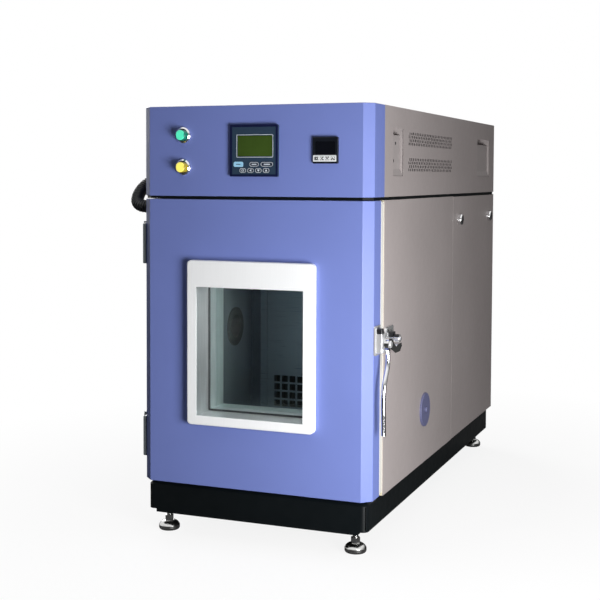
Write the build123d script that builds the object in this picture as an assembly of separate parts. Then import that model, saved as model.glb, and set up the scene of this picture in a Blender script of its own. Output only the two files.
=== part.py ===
from build123d import *
import math
import os

# Bench-size environmental test chamber: a tested volume behind a windowed door,
# a machine compartment at the rear and a control head on top.
# X runs to the right as seen from the front, Y from the front to the back, Z up.
# Pieces are drawn from the front face (Y = 0) and from the plinth's underside (Z = 0).
# save() moves them so that the origin is on the floor, under the middle of the cabinet.

os.makedirs("parts", exist_ok=True)

# Cabinet
cabinet_width = 464.0
cabinet_depth = 1035.0
plinth_height = 53.0
door_height = 548.0
head_height = 170.0
foot_height = 46.0
sheet = 1.5
front_chamfer = 17.0
door_sill_gap = 4.0
head_split_gap = 6.0
tray_inset = 2.5
door_top_clearance = 1.2
fold_radius = 1.4

# Door, seal and window
door_depth = 56.0
seal_depth = 10.5
seal_gap = 0.4
front_frame_depth = 12.6
seal_edge = 6.0
seal_base = 4.0
seal_lip = 8.0
plug_depth = 54.0
plug_clearance = 12.0
plug_taper = 6.0
pan_wall = 1.0
window_width = 216.0
window_height = 245.0
window_sill = 138.0
window_offset = -1.0
window_stile = 20.0
window_bottom_rail = 18.0
window_top_rail = 50.0
window_stand_off = 15.0
window_reveal_wall = 3.0
pane_thickness = 4.0
pane_seat = 5.0
pane_setback = 41.0
spacer_width = 6.0

# Chamber
cavity_width = 340.0
cavity_height = 413.0
cavity_floor = 127.0
cavity_depth = 367.5
liner_wall = 1.0
duct_depth = 73.0
rear_insulation = 70.0
baffle_sheet = 1.5
corner_post = 17.0
grille_columns = 15
grille_rows = 4
grille_pitch = 18.5
grille_hole = 14.5
pilaster_width = 20.0
pilaster_height = 3.0
pilaster_pitch = 51.7

# Cable port in the left wall and blanking cover on the right
port_bore = 50.0
port_wall = 3.0
port_flange = 83.0
port_flange_thickness = 2.0
port_back = 305.0
port_height = 326.0
cover_diameter = 70.0
cover_thickness = 4.0
cover_back = 370.0
cover_height = 164.0

# Plinth and feet
plinth_inset = 8.0
plinth_corner = 12.0
plinth_edge = 5.0
rail_width = 60.0
rail_wall = 3.0
deck_thickness = 3.0
skirt_drop = 6.0
skirt_inset = 18.0
foot_from_side = 39.0
foot_from_end = 38.0
foot_pad = 41.0
foot_stem = 10.0
foot_nut = 15.5
foot_travel = 15.0

# Running clearances
fit_clearance = 0.05
key_clearance = 0.3
panel_gap = 1.8

# Hinges of the door
hinge_height = 78.5
hinge_radius = 8.0
hinge_pin = 4.0
hinge_leaf = 6.0
hinge_lift = 3.5
hinge_back = 45.0
hinge_leaf_gap = 0.6
hinge_knuckle_gap = 0.5
lower_hinge = 43.5
upper_hinge = 48.0

# Latch
latch_pivot_back = 38.0
latch_pivot_height = 344.0
latch_plate = 3.0
latch_block = 11.5
latch_hub = 11.0
latch_pin = 4.0
lever_thickness = 9.0
lever_gap = 0.5
roller_back = 102.0
roller_height = 347.0
roller_radius = 8.0
roller_pin = 3.5
nose_clearance = 0.8

# Control head
controller_size = 96.0
controller_body = 91.5
controller_depth = 80.0
controller_proud = 6.0
controller_across = 5.0
controller_height = 85.0
limiter_size = 48.0
limiter_body = 44.8
limiter_depth = 70.0
limiter_across = 145.0
key_proud = 0.8
key_travel = 0.5
key_depth = 2.6
button_across = -142.0
button_top = 115.0
button_spacing = 60.5
bezel_diameter = 30.0
bezel_proud = 7.0
button_bore = 20.6
button_diameter = 20.0
button_proud = 17.0
button_travel = 4.0

# Recessed grips and vents in the head's sides
grip_height = 91.0
grip_bottom = 39.0
grip_depth = 24.0
grip_lip = 12.0
grip_throat = 26.0
grip_wall = 1.2
front_grip = (131.0, 67.0)
rear_grip = (843.0, 138.0)
vent_start = 240.0
vent_pitch = 13.0
vent_columns = 27
vent_slot = (3.2, 10.5)
vent_row_pitch = 14.0
vent_bands = (112.5, 61.5)

# Rear machine compartment
compartment_gap = 15.5
frame_angle = 25.0
frame_sheet = 2.0
seam_back = 605.0
lock_height = 54.0
lock_diameter = 25.0
lock_inset = 58.0
lock_rear_inset = 62.0

# Derived planes
side = cabinet_width / 2
door_bottom = plinth_height + door_sill_gap
door_top = door_bottom + door_height
head_bottom = door_top + head_split_gap
head_top_z = head_bottom + head_height
seal_back = door_depth + seal_depth
frame_front = seal_back + seal_gap
shell_front = frame_front + front_frame_depth
cavity_half = cavity_width / 2
cavity_top = cavity_floor + cavity_height
baffle_front = shell_front + cavity_depth
duct_back = baffle_front + duct_depth
insulation_back = duct_back + rear_insulation
rear_face = cabinet_depth - sheet
pivot_x = -side - hinge_radius - hinge_lift
lever_x0 = side + latch_plate + latch_block + lever_gap
lever_x1 = lever_x0 + lever_thickness
window_bottom = door_bottom + window_sill
window_top = window_bottom + window_height
window_left = window_offset - window_width / 2
window_right = window_offset + window_width / 2
lock_z = door_top - lock_height


def block(x, y, z):
    """Box between two limits along each axis."""
    size = Box(x[1] - x[0], y[1] - y[0], z[1] - z[0])
    return Pos((x[0] + x[1]) / 2, (y[0] + y[1]) / 2, (z[0] + z[1]) / 2) * size


def rod_x(x, y, z, radius):
    """Cylinder along X between two limits."""
    return Pos((x[0] + x[1]) / 2, y, z) * Rot(0, 90, 0) * Cylinder(radius, x[1] - x[0])


def rod_y(x, y, z, radius):
    """Cylinder along Y between two limits."""
    return Pos(x, (y[0] + y[1]) / 2, z) * Rot(90, 0, 0) * Cylinder(radius, y[1] - y[0])


def rod_z(x, y, z, radius):
    """Cylinder along Z between two limits."""
    return Pos(x, y, (z[0] + z[1]) / 2) * Cylinder(radius, z[1] - z[0])


def plate_xz(x, y, z, radius):
    """Plate facing the front, with rounded corners."""
    outline = RectangleRounded(x[1] - x[0], z[1] - z[0], radius)
    plate = extrude(Plane.XZ * outline, amount=y[1] - y[0])
    return Pos((x[0] + x[1]) / 2, y[1], (z[0] + z[1]) / 2) * plate


def plate_yz(x, y, z, radius):
    """Plate facing sideways, with rounded corners."""
    outline = RectangleRounded(y[1] - y[0], z[1] - z[0], radius)
    plate = extrude(Plane.YZ * outline, amount=x[1] - x[0])
    return Pos(x[0], (y[0] + y[1]) / 2, (z[0] + z[1]) / 2) * plate


def mirrored(shape):
    """The shape and its twin on the other side of the cabinet."""
    return [shape, mirror(shape, about=Plane.YZ)]


def save(name, *solids):
    """Write one node, with the origin on the floor under the middle of the cabinet."""
    shape = solids[0] if len(solids) == 1 else Compound(children=list(solids))
    export_step(Pos(0, -cabinet_depth / 2, foot_height) * shape, f"parts/{name}.step")


def front_prism(inset, back, z):
    """Prism with the cabinet's plan at the front: both front corners cut at 45 degrees."""
    cut = front_chamfer + inset * (math.sqrt(2) - 1)
    edge = side - inset
    shoulder = side - cut
    plan = Polyline(
        (-edge, back),
        (-edge, cut),
        (-shoulder, inset),
        (shoulder, inset),
        (edge, cut),
        (edge, back),
        close=True,
    )
    return Pos(0, 0, z[0]) * extrude(make_face(plan), amount=z[1] - z[0])


def folded_prism(back, z):
    """The front's prism with every edge but the rear ones rounded, as a sheet folds."""
    prism = front_prism(0, back, z)
    return fillet(prism.edges() - prism.faces().sort_by(Axis.Y)[-1].edges(), fold_radius)


# Plinth: four box-section rails under a deck plate
plinth_half = side - plinth_inset
plinth_y = (plinth_inset, cabinet_depth - plinth_inset)
deck_underside = plinth_height - deck_thickness
plinth_plan = Pos(0, cabinet_depth / 2) * RectangleRounded(
    2 * plinth_half, plinth_y[1] - plinth_y[0], plinth_corner
)
plinth_block = extrude(plinth_plan, amount=plinth_height)
plinth_block = chamfer(plinth_block.faces().sort_by(Axis.Z)[-1].edges(), plinth_edge)
foot_x = side - foot_from_side
foot_places = {
    "foot_front_left": (-foot_x, foot_from_end),
    "foot_front_right": (foot_x, foot_from_end),
    "foot_rear_left": (-foot_x, cabinet_depth - foot_from_end),
    "foot_rear_right": (foot_x, cabinet_depth - foot_from_end),
}
stem_bores = [
    rod_z(x, y, (-skirt_drop - 1, deck_underside), foot_stem / 2 + fit_clearance)
    for x, y in foot_places.values()
]
below_deck = (0, deck_underside)
front_rail = (plinth_y[0], plinth_y[0] + rail_width)
rear_rail = (plinth_y[1] - rail_width, plinth_y[1])
tube_z = (rail_wall, deck_underside - rail_wall)
rails = []
for span in (front_rail, rear_rail):
    rail = plinth_block & block((-side, side), span, below_deck)
    if span == front_rail:
        rail += block((skirt_inset - plinth_half, plinth_half - skirt_inset), span, (-skirt_drop, rail_wall))
    hollow = block(
        (rail_wall - plinth_half, plinth_half - rail_wall),
        (span[0] + rail_wall, span[1] - rail_wall),
        tube_z,
    )
    rails.append(rail - hollow - stem_bores)
side_rail = plinth_block & block((plinth_half - rail_width, side), (front_rail[1], rear_rail[0]), below_deck)
side_hollow = block(
    (plinth_half - rail_width + rail_wall, plinth_half - rail_wall), (front_rail[1], rear_rail[0]), tube_z
)
rails += mirrored(side_rail - side_hollow)
deck = plinth_block & block((-side, side), (0, cabinet_depth), (deck_underside, plinth_height))
save("plinth", *rails, deck)

# Levelling feet: domed pad, hexagon and threaded stem
stem_top = deck_underside - 4
pad_rim = (5.0, 9.0)
pad_height = 18.0
nut_height = 10.0
pad_radius = foot_pad / 2
nut_radius = foot_nut / 2
pad_sole = pad_radius - 3.5
with BuildLine(Plane.XZ) as foot_outline:
    Line((0, 0), (pad_sole, 0))
    ThreePointArc((pad_sole, 0), (pad_radius - 0.9, pad_rim[0] / 2 - 0.6), (pad_radius, pad_rim[0]))
    Line((pad_radius, pad_rim[0]), (pad_radius, pad_rim[1]))
    ThreePointArc((pad_radius, pad_rim[1]), (pad_radius - 4.2, pad_height - 3.2), (nut_radius, pad_height))
    Line((nut_radius, pad_height), (0, pad_height))
    Line((0, pad_height), (0, 0))
foot_nut_body = extrude(RegularPolygon(nut_radius, 6, major_radius=False), amount=nut_height)
foot_body = revolve(make_face(foot_outline.line), Axis.Z) + Pos(0, 0, pad_height) * foot_nut_body
foot_body += rod_z(0, 0, (pad_height, foot_height + stem_top), foot_stem / 2)
for name, (x, y) in foot_places.items():
    save(name, Pos(x, y, -foot_height) * foot_body)

# Outer sheets of the body
port_hole = rod_x((-side - 1, side), port_back, port_height, port_bore / 2 + port_wall)
left_sheet = block((-side, sheet - side), (shell_front, rear_face), (plinth_height, door_top)) - port_hole
right_sheet = block(
    (side - sheet, side), (shell_front, seam_back - panel_gap / 2), (plinth_height, door_top)
)
save("side_panels", left_sheet, right_sheet)

# Service panel on the right of the machine compartment, with its edges folded in
service_y = (seam_back + panel_gap / 2, rear_face - panel_gap / 2)
service_z = (plinth_height + 1, door_top - 1)
fold = 10.0
lock_y = (seam_back + lock_inset, cabinet_depth - lock_rear_inset)
lock_bore = 9.0
service_sheet = block((side - sheet, side), service_y, service_z)
for edge in (service_y[0], service_y[1] - sheet):
    service_sheet += block((side - fold, side), (edge, edge + sheet), service_z)
service_sheet -= [rod_x((0, side + 1), y, lock_z, lock_bore + fit_clearance) for y in lock_y]
save("service_panel", service_sheet)

# Quarter-turn locks: domed head outside, threaded barrel and tongue behind the sheet
frame_top_z = (door_top - frame_angle, door_top)
tongue_width = 14.0
tongue_end = frame_top_z[0] - 1.0
tongue_plate = 3.0
lock_head = 9.0
barrel_end = side - 24.0
key_slot = (2.4, 11.0)
for name, y in zip(("cam_lock_front", "cam_lock_rear"), lock_y):
    head = rod_x((side + 0.3, side + lock_head), y, lock_z, lock_diameter / 2)
    head = fillet(head.faces().sort_by(Axis.X)[-1].edges(), 4.0)
    slot = block(
        (side + lock_head - 3, side + lock_head + 1),
        (y - key_slot[0] / 2, y + key_slot[0] / 2),
        (lock_z - key_slot[1] / 2, lock_z + key_slot[1] / 2),
    )
    barrel = rod_x((barrel_end, side + 1), y, lock_z, lock_bore)
    tongue = plate_yz(
        (barrel_end - tongue_plate, barrel_end),
        (y - tongue_width / 2, y + tongue_width / 2),
        (lock_z - tongue_width / 2, tongue_end),
        3.0,
    )
    save(name, head + barrel + tongue - slot)

# Rear sheets: louvred over the condenser, slotted at the head
rear_slot = (84.0, 5.0)
rear_slot_pitch = 17.0
rear_slot_rows = 13
rear_slot_base = plinth_height + 62.0
lower_rear = block((-side, side), (rear_face, cabinet_depth), (plinth_height, door_top))
lower_rear -= [
    block(
        (x - rear_slot[0] / 2, x + rear_slot[0] / 2),
        (rear_face - 1, cabinet_depth + 1),
        (rear_slot_base + row * rear_slot_pitch, rear_slot_base + row * rear_slot_pitch + rear_slot[1]),
    )
    for x in (-rear_slot[0] * 0.6, rear_slot[0] * 0.6)
    for row in range(rear_slot_rows)
]
upper_rear = block((-side, side), (rear_face, cabinet_depth), (head_bottom, head_top_z))
inlet_x = -side + 70.0
inlet_z = head_bottom + 45.0
inlet_radius = 10.0
upper_rear -= rod_y(inlet_x, (rear_face - 1, cabinet_depth + 1), inlet_z, inlet_radius)
inlet_gland = rod_y(inlet_x, (rear_face - 12, cabinet_depth + 9), inlet_z, inlet_radius)
inlet_gland += Pos(inlet_x, cabinet_depth + 6, inlet_z) * Rot(90, 0, 0) * extrude(
    RegularPolygon(inlet_radius + 3, 6), amount=6
)
inlet_gland -= rod_y(inlet_x, (rear_face - 13, cabinet_depth + 10), inlet_z, inlet_radius * 0.6)
save("rear_panels", lower_rear, upper_rear, inlet_gland)

# Angle frame of the machine compartment
frame_y = (seam_back - frame_angle / 2 + 1, rear_face)
frame_x = side - sheet - 10.0
posts = []
for y0, y1, leg in (
    (frame_y[0], frame_y[0] + frame_sheet, frame_y[0]),
    (frame_y[1] - frame_sheet, frame_y[1], frame_y[1] - frame_angle),
):
    post = block((frame_x - frame_angle, frame_x), (y0, y1), (plinth_height, frame_top_z[1]))
    post += block(
        (frame_x - frame_sheet, frame_x), (leg, leg + frame_angle), (plinth_height, frame_top_z[1])
    )
    posts += mirrored(post)
rail = block(
    (frame_x - frame_sheet, frame_x), (frame_y[0] + frame_angle, frame_y[1] - frame_angle), frame_top_z
)
save("machine_frame", *posts, *mirrored(rail))

# Insulation slabs round the chamber
foam_y = (shell_front, insulation_back)
liner_out = cavity_half + liner_wall
liner_bottom = cavity_floor - liner_wall
liner_top = cavity_top + liner_wall
inner_side = side - sheet
shaft_bore = 10.0
fan_height = cavity_floor + 270.0
floor_slab = block((-inner_side, inner_side), foam_y, (plinth_height, liner_bottom))
roof_slab = block((-inner_side, inner_side), foam_y, (liner_top, door_top))
right_slab = block((liner_out, inner_side), foam_y, (liner_bottom, liner_top))
left_slab = block((-inner_side, -liner_out), foam_y, (liner_bottom, liner_top)) - port_hole
rear_slab = block(
    (-liner_out, liner_out), (duct_back + liner_wall, insulation_back), (liner_bottom, liner_top)
)
rear_slab -= rod_y(0, (duct_back, insulation_back + 1), fan_height, shaft_bore)
save("chamber_insulation", floor_slab, roof_slab, right_slab, left_slab, rear_slab)

# Stainless liner, with shelf strips pressed into both side walls
liner = block((-liner_out, liner_out), (shell_front, duct_back + liner_wall), (liner_bottom, liner_top))
liner -= block((-cavity_half, cavity_half), (shell_front - 1, duct_back), (cavity_floor, cavity_top))
liner -= rod_x((-liner_out - 1, 0), port_back, port_height, port_bore / 2 + port_wall)
liner -= rod_y(0, (duct_back - 1, duct_back + 5), fan_height, shaft_bore)
strip_z = (cavity_floor + 25.0, cavity_top - 25.0)
strip_hole = (8.0, 5.0)
for back in (baffle_front - 44.0, shell_front + 90.0):
    strip = block(
        (cavity_half - pilaster_height, cavity_half),
        (back - pilaster_width / 2, back + pilaster_width / 2),
        strip_z,
    )
    strip -= [
        block(
            (cavity_half - pilaster_height - 1, cavity_half - 1),
            (back - strip_hole[1] / 2, back + strip_hole[1] / 2),
            (z - strip_hole[0] / 2, z + strip_hole[0] / 2),
        )
        for z in [strip_z[0] + 28.0 + pilaster_pitch * step for step in range(7)]
    ]
    liner += mirrored(strip)
save("inner_liner", liner)

# White frame that the seal closes on
front_frame = plate_xz((-side + 2, side - 2), (frame_front, shell_front), (door_bottom, door_top - 1), 4.0)
front_frame -= block((-cavity_half, cavity_half), (0, cabinet_depth), (cavity_floor, cavity_top))
save("front_frame", front_frame)

# Air baffle: grille below, supply slots above, channel posts in both corners
baffle_back = baffle_front + baffle_sheet
baffle_half = cavity_half - corner_post
grille_z = cavity_floor + 4.0
supply_slot = (22.0, 6.0)
baffle = block((-baffle_half, baffle_half), (baffle_front, baffle_back), (cavity_floor, cavity_top))
first_column = -grille_pitch * (grille_columns - 1) / 2
baffle -= [
    block(
        (x - grille_hole / 2, x + grille_hole / 2), (baffle_front - 1, baffle_back + 1), (z, z + grille_hole)
    )
    for x in [first_column + grille_pitch * column for column in range(grille_columns)]
    for z in [grille_z + grille_pitch * row for row in range(grille_rows)]
]
baffle -= [
    block(
        (x - supply_slot[0] / 2, x + supply_slot[0] / 2),
        (baffle_front - 1, baffle_back + 1),
        (z, z + supply_slot[1]),
    )
    for x in [30.0 * (column - 3.5) for column in range(8)]
    for z in [cavity_top - 20.0 - 14.0 * row for row in range(3)]
]
post = block((baffle_half + 1, cavity_half), (baffle_front, baffle_front + 14), (cavity_floor, cavity_top))
post -= block(
    (baffle_half + 2.5, cavity_half - 1.5), (baffle_front + 1.5, baffle_front + 15), (0, head_top_z)
)
save("air_baffle", baffle, *mirrored(post))

# Cable port through the left wall
port_face = -side - port_flange_thickness
port_inner = port_flange_thickness - cavity_half
port = rod_x((port_face, port_inner), port_back, port_height, port_bore / 2 + port_wall)
port += rod_x((port_face, -side), port_back, port_height, port_flange / 2)
port += rod_x((-cavity_half, port_inner), port_back, port_height, port_flange / 2)
port -= rod_x((port_face - 1, port_inner + 1), port_back, port_height, port_bore / 2)
save("cable_port", port)

# Blanking cover on the right side, held by one screw
cover = rod_x((side, side + cover_thickness), cover_back, cover_height, cover_diameter / 2)
cover = fillet(cover.faces().sort_by(Axis.X)[-1].edges(), 1.5)
cover_screw = rod_x((side + cover_thickness, side + cover_thickness + 3.5), cover_back, cover_height, 5.5)
cover_screw = fillet(cover_screw.faces().sort_by(Axis.X)[-1].edges(), 2.5)
save("port_cover", cover + cover_screw)

# Circulation fan: backplate, curved blades and front ring on one long shaft
shaft_radius = 6.0
wheel_radius = 75.0
eye_radius = 46.0
wheel_y = (baffle_front + 20.0, baffle_front + 56.0)
plate_gauge = 2.0
blade_count = 10
motor_front = insulation_back
shaft_end = motor_front + 36.0


def turned_to_y(shape, y):
    """A piece drawn along Z, laid down so that it points to the back."""
    return Pos(0, y, fan_height) * Rot(-90, 0, 0) * shape


blade_arc = ThreePointArc(
    (eye_radius - 8, 0), (wheel_radius * 0.8, 13.0), (wheel_radius - 2, 34.0 * wheel_radius / 75.0)
)
blade_depth = wheel_y[1] - wheel_y[0] - 2 * plate_gauge
blade = extrude(make_face(trace(blade_arc, line_width=plate_gauge).edges()), amount=blade_depth)
wheel = Cylinder(wheel_radius, plate_gauge, align=(Align.CENTER, Align.CENTER, Align.MIN)) - Cylinder(
    eye_radius, 3 * plate_gauge
)
wheel += Pos(0, 0, plate_gauge + blade_depth + plate_gauge / 2) * Cylinder(wheel_radius, plate_gauge)
for step in range(blade_count):
    clipped = (Rot(0, 0, step * 360 / blade_count) * Pos(0, 0, plate_gauge) * blade) & Cylinder(
        wheel_radius, 2 * (blade_depth + plate_gauge)
    )
    wheel += clipped
wheel += Pos(0, 0, plate_gauge + blade_depth - 16) * Cylinder(
    16, 16, align=(Align.CENTER, Align.CENTER, Align.MIN)
)
fan_shaft = rod_y(0, (wheel_y[1] - 8, shaft_end), fan_height, shaft_radius)
save("circulation_fan", turned_to_y(wheel, wheel_y[0]) + fan_shaft)

# Its motor, bolted to the back of the insulation
motor_radius = 44.0
motor_length = 96.0
motor = block((-58, 58), (motor_front, motor_front + 4), (fan_height - 58, fan_height + 58))
motor += rod_y(0, (motor_front, motor_front + motor_length), fan_height, motor_radius)
motor += rod_y(0, (motor_front, motor_front + motor_length + 8), fan_height, motor_radius * 0.55)
for step in range(8):
    fin = block(
        (motor_radius - 3, motor_radius + 4), (motor_front + 10, motor_front + motor_length - 10), (-1.5, 1.5)
    )
    motor += Pos(0, 0, fan_height) * Rot(0, 45 * step + 22.5, 0) * fin
motor -= rod_y(0, (motor_front - 1, shaft_end + 1), fan_height, shaft_radius + fit_clearance)
save("fan_motor", motor)

# Heater: two bent tubes with their ends through the duct's back
heater_half = cavity_half - 30.0
heater_z = cavity_floor + 160.0
heater_y = baffle_front + duct_depth / 2
heaters = []
for level in (0.0, 22.0):
    z = heater_z + level
    route = FilletPolyline(
        (-heater_half, duct_back, z),
        (-heater_half, heater_y, z),
        (heater_half, heater_y, z),
        (heater_half, duct_back, z),
        radius=14,
    )
    heaters.append(sweep(Plane(origin=route @ 0, z_dir=route % 0) * Circle(4), path=route))
save("air_heater", *heaters)

# Evaporator: finned block between end plates, low in the duct
coil_z = (cavity_floor + 6.0, cavity_floor + 132.0)
coil_y = (baffle_front + 16.0, duct_back - 14.0)
coil_half = cavity_half - 34.0
evaporator = block((-coil_half, coil_half), coil_y, coil_z)
evaporator -= [
    block((x - 3, x + 3), (coil_y[0] - 1, coil_y[0] + 8), (coil_z[0] - 1, coil_z[1] + 1))
    for x in [(step - 5) * 24.0 for step in range(11)]
]
for edge in (-coil_half, coil_half - 2):
    evaporator += block((edge, edge + 2), (coil_y[0] - 3, coil_y[1] + 3), (coil_z[0], coil_z[1] + 4))
bend_x = coil_half + 10.0
for step in range(4):
    z = coil_z[0] + 18.0 + 28.0 * step
    evaporator += rod_x((coil_half - 1, bend_x), (coil_y[0] + coil_y[1]) / 2, z, 4.5)
    evaporator += rod_x((coil_half - 1, bend_x), (coil_y[0] + coil_y[1]) / 2, z + 14, 4.5)
    evaporator += rod_z(bend_x - 4.5, (coil_y[0] + coil_y[1]) / 2, (z, z + 14), 4.5)
save("evaporator", evaporator)

# Compressor: welded shell on a base plate
compressor_x = -95.0
compressor_y = insulation_back + 200.0
shell_radius = 78.0
shell_height = 176.0
base_lift = 22.0
discharge_radius = 5.0
discharge_seat = 3.0
suction_radius = 7.0
suction_seat = 16.0
suction_across = 34.0
compressor_profile = Polyline(
    (0, base_lift),
    (shell_radius * 0.72, base_lift),
    (shell_radius - 4, base_lift + 18),
    (shell_radius - 4, base_lift + 88),
    (shell_radius, base_lift + 92),
    (shell_radius, base_lift + 104),
    (shell_radius - 4, base_lift + 108),
    (shell_radius - 4, base_lift + shell_height - 34),
    (shell_radius * 0.55, base_lift + shell_height - 6),
    (0, base_lift + shell_height),
    close=True,
)
compressor = revolve(Plane.XZ * make_face(compressor_profile), Axis.Z)
compressor += Pos(0, 0, base_lift - 2) * Box(170, 170, 4)
for px in (-70, 70):
    for py in (-70, 70):
        compressor += rod_z(px, py, (0, base_lift + 4), 9)
compressor += block((shell_radius - 12, shell_radius + 26), (-26, 26), (base_lift + 30, base_lift + 84))
shell_crown = base_lift + shell_height
compressor -= rod_z(0, 0, (shell_crown - discharge_seat, shell_crown + 1), discharge_radius)
compressor -= rod_z(-suction_across, 0, (shell_crown - suction_seat, shell_crown + 1), suction_radius)
save("compressor", Pos(compressor_x, compressor_y, plinth_height) * compressor)

# Condenser: finned block, tube ends and fan shroud at the rear
condenser_half = 140.0
condenser_y = (rear_face - 52.0, rear_face - 12.0)
condenser_z = (plinth_height, plinth_height + 300.0)
shroud_radius = 112.0
condenser_centre = (condenser_z[0] + condenser_z[1]) / 2
condenser = block((-condenser_half, condenser_half), condenser_y, condenser_z)
condenser -= [
    block(
        (x - 4, x + 4), (condenser_y[1] - 10, condenser_y[1] + 1), (condenser_z[0] + 8, condenser_z[1] - 8)
    )
    for x in [(step - 4.5) * 27.0 for step in range(10)]
]
shroud = block((-condenser_half, condenser_half), (condenser_y[0] - 2, condenser_y[0]), condenser_z)
shroud += rod_y(0, (condenser_y[0] - 26, condenser_y[0]), condenser_centre, shroud_radius + 2)
shroud -= rod_y(0, (condenser_y[0] - 27, condenser_y[0] + 1), condenser_centre, shroud_radius)
fan_hub = (condenser_y[0] - 24.0, condenser_y[0] - 6.0)
cooler_motor = rod_y(0, (fan_hub[0] - 62, fan_hub[0] - 6), condenser_centre, 30.0)
cooler_motor -= rod_y(0, (fan_hub[0] - 40, fan_hub[0] - 5), condenser_centre, 5.0 + fit_clearance)
motor_post = block((-20, 20), (fan_hub[0] - 46, fan_hub[0] - 24), (plinth_height, condenser_centre - 24))
save("condenser", condenser, shroud, cooler_motor + motor_post)

# Condenser fan: hub, five pitched blades and a stub shaft
fan_tip = shroud_radius - 5.0
axial_fan = Cylinder(24, fan_hub[1] - fan_hub[0])
for step in range(5):
    blade = Rot(0, 0, 72 * step) * Pos((fan_tip + 20) / 2, 0, 0) * Rot(28, 0, 0) * Box(fan_tip - 20, 46, 2)
    axial_fan += blade & Cylinder(fan_tip, 30)
axial_fan = Pos(0, (fan_hub[0] + fan_hub[1]) / 2, condenser_centre) * Rot(90, 0, 0) * axial_fan
axial_fan += rod_y(0, (fan_hub[0] - 30, fan_hub[0] + 1), condenser_centre, 5.0)
save("condenser_fan", axial_fan)

# Refrigerant lines: discharge to the condenser, suction from the chamber, and the drier
pipe_bend = 22.0
suction_rise = 60.0


def pipe(points, radius):
    """Tube along straight runs joined by bends."""
    route = FilletPolyline(*points, radius=pipe_bend)
    return sweep(Plane(origin=route @ 0, z_dir=route % 0) * Circle(radius), path=route)


shell_top = plinth_height + shell_crown
discharge_top = condenser_z[1] + 2.5 * pipe_bend
discharge = pipe(
    [
        (compressor_x, compressor_y, shell_top - discharge_seat),
        (compressor_x, compressor_y, discharge_top),
        (compressor_x, condenser_y[0] + 18, discharge_top),
        (compressor_x, condenser_y[0] + 18, condenser_z[1]),
    ],
    discharge_radius,
)
suction = pipe(
    [
        (compressor_x - suction_across, compressor_y, shell_top - suction_seat),
        (compressor_x - suction_across, compressor_y, shell_top + suction_rise),
        (compressor_x - suction_across, insulation_back, shell_top + suction_rise),
    ],
    suction_radius,
)
drier_x = condenser_half - 20
drier = rod_z(drier_x, condenser_y[0] - 60, (plinth_height, plinth_height + 130), 14.0)
save("refrigerant_pipes", discharge, suction, drier)

# Head: black tray, fascia, sides and top
tray = block((tray_inset - side, side - tray_inset), (shell_front, rear_face), (door_top, head_bottom))
tray += front_prism(tray_inset, shell_front + 1, (door_top + door_top_clearance, head_bottom))
save("head_tray", tray)

fascia_back = shell_front - 3.0
controller_z = head_bottom + controller_height
button_z = (head_bottom + button_top, head_bottom + button_top - button_spacing)
fascia = folded_prism(fascia_back, (head_bottom, head_top_z))
fascia -= front_prism(sheet, fascia_back + 1, (head_bottom + sheet, head_top_z - sheet))
for centre, size in ((controller_across, controller_body), (limiter_across, limiter_body)):
    fascia -= block(
        (centre - size / 2, centre + size / 2),
        (-1, sheet + 1),
        (controller_z - size / 2, controller_z + size / 2),
    )
thread_radius = 11.0
fascia -= [rod_y(button_across, (-1, sheet + 1), z, thread_radius) for z in button_z]
save("head_fascia", fascia)

head_side_z = (head_bottom, head_top_z - sheet)
head_sheet = block((side - sheet, side), (fascia_back, rear_face), head_side_z)
grips = []
for start, length in (front_grip, rear_grip):
    opening_z = (head_bottom + grip_bottom, head_bottom + grip_bottom + grip_height)
    head_sheet -= block((side - sheet - 1, side + 1), (start, start + length), opening_z)
    face = side - sheet
    inner = Polyline(
        (face + 0.01, opening_z[0] + 2),
        (face - grip_depth, opening_z[1] - grip_throat),
        (face - grip_depth, opening_z[1] + grip_lip - 4),
        (face - grip_depth + 4, opening_z[1] + grip_lip),
        (face + 0.01, opening_z[1] + grip_lip),
        close=True,
    )
    hollow = Pos(0, start + length, 0) * extrude(Plane.XZ * make_face(inner), amount=length)
    outer = Polyline(
        (face, opening_z[0] - 4),
        (face - grip_depth - grip_wall, opening_z[1] - grip_throat - grip_wall),
        (face - grip_depth - grip_wall, opening_z[1] + grip_lip + grip_wall),
        (face, opening_z[1] + grip_lip + grip_wall),
        close=True,
    )
    cup = Pos(0, start + length + grip_wall, 0) * extrude(
        Plane.XZ * make_face(outer), amount=length + 2 * grip_wall
    )
    grips += mirrored(cup - hollow)
for band in vent_bands:
    for row in (-0.5, 0.5):
        stagger = vent_pitch / 2 if row < 0 else 0
        z = head_bottom + band + row * vent_row_pitch
        head_sheet -= [
            block(
                (side - sheet - 1, side + 1),
                (y - vent_slot[0] / 2, y + vent_slot[0] / 2),
                (z - vent_slot[1] / 2, z + vent_slot[1] / 2),
            )
            for y in [vent_start + stagger + vent_pitch * column for column in range(vent_columns)]
        ]
save("head_sides", *mirrored(head_sheet))
save("grip_cups", *grips)
save("head_top", block((-side, side), (fascia_back, rear_face), (head_top_z - sheet, head_top_z)))

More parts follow.
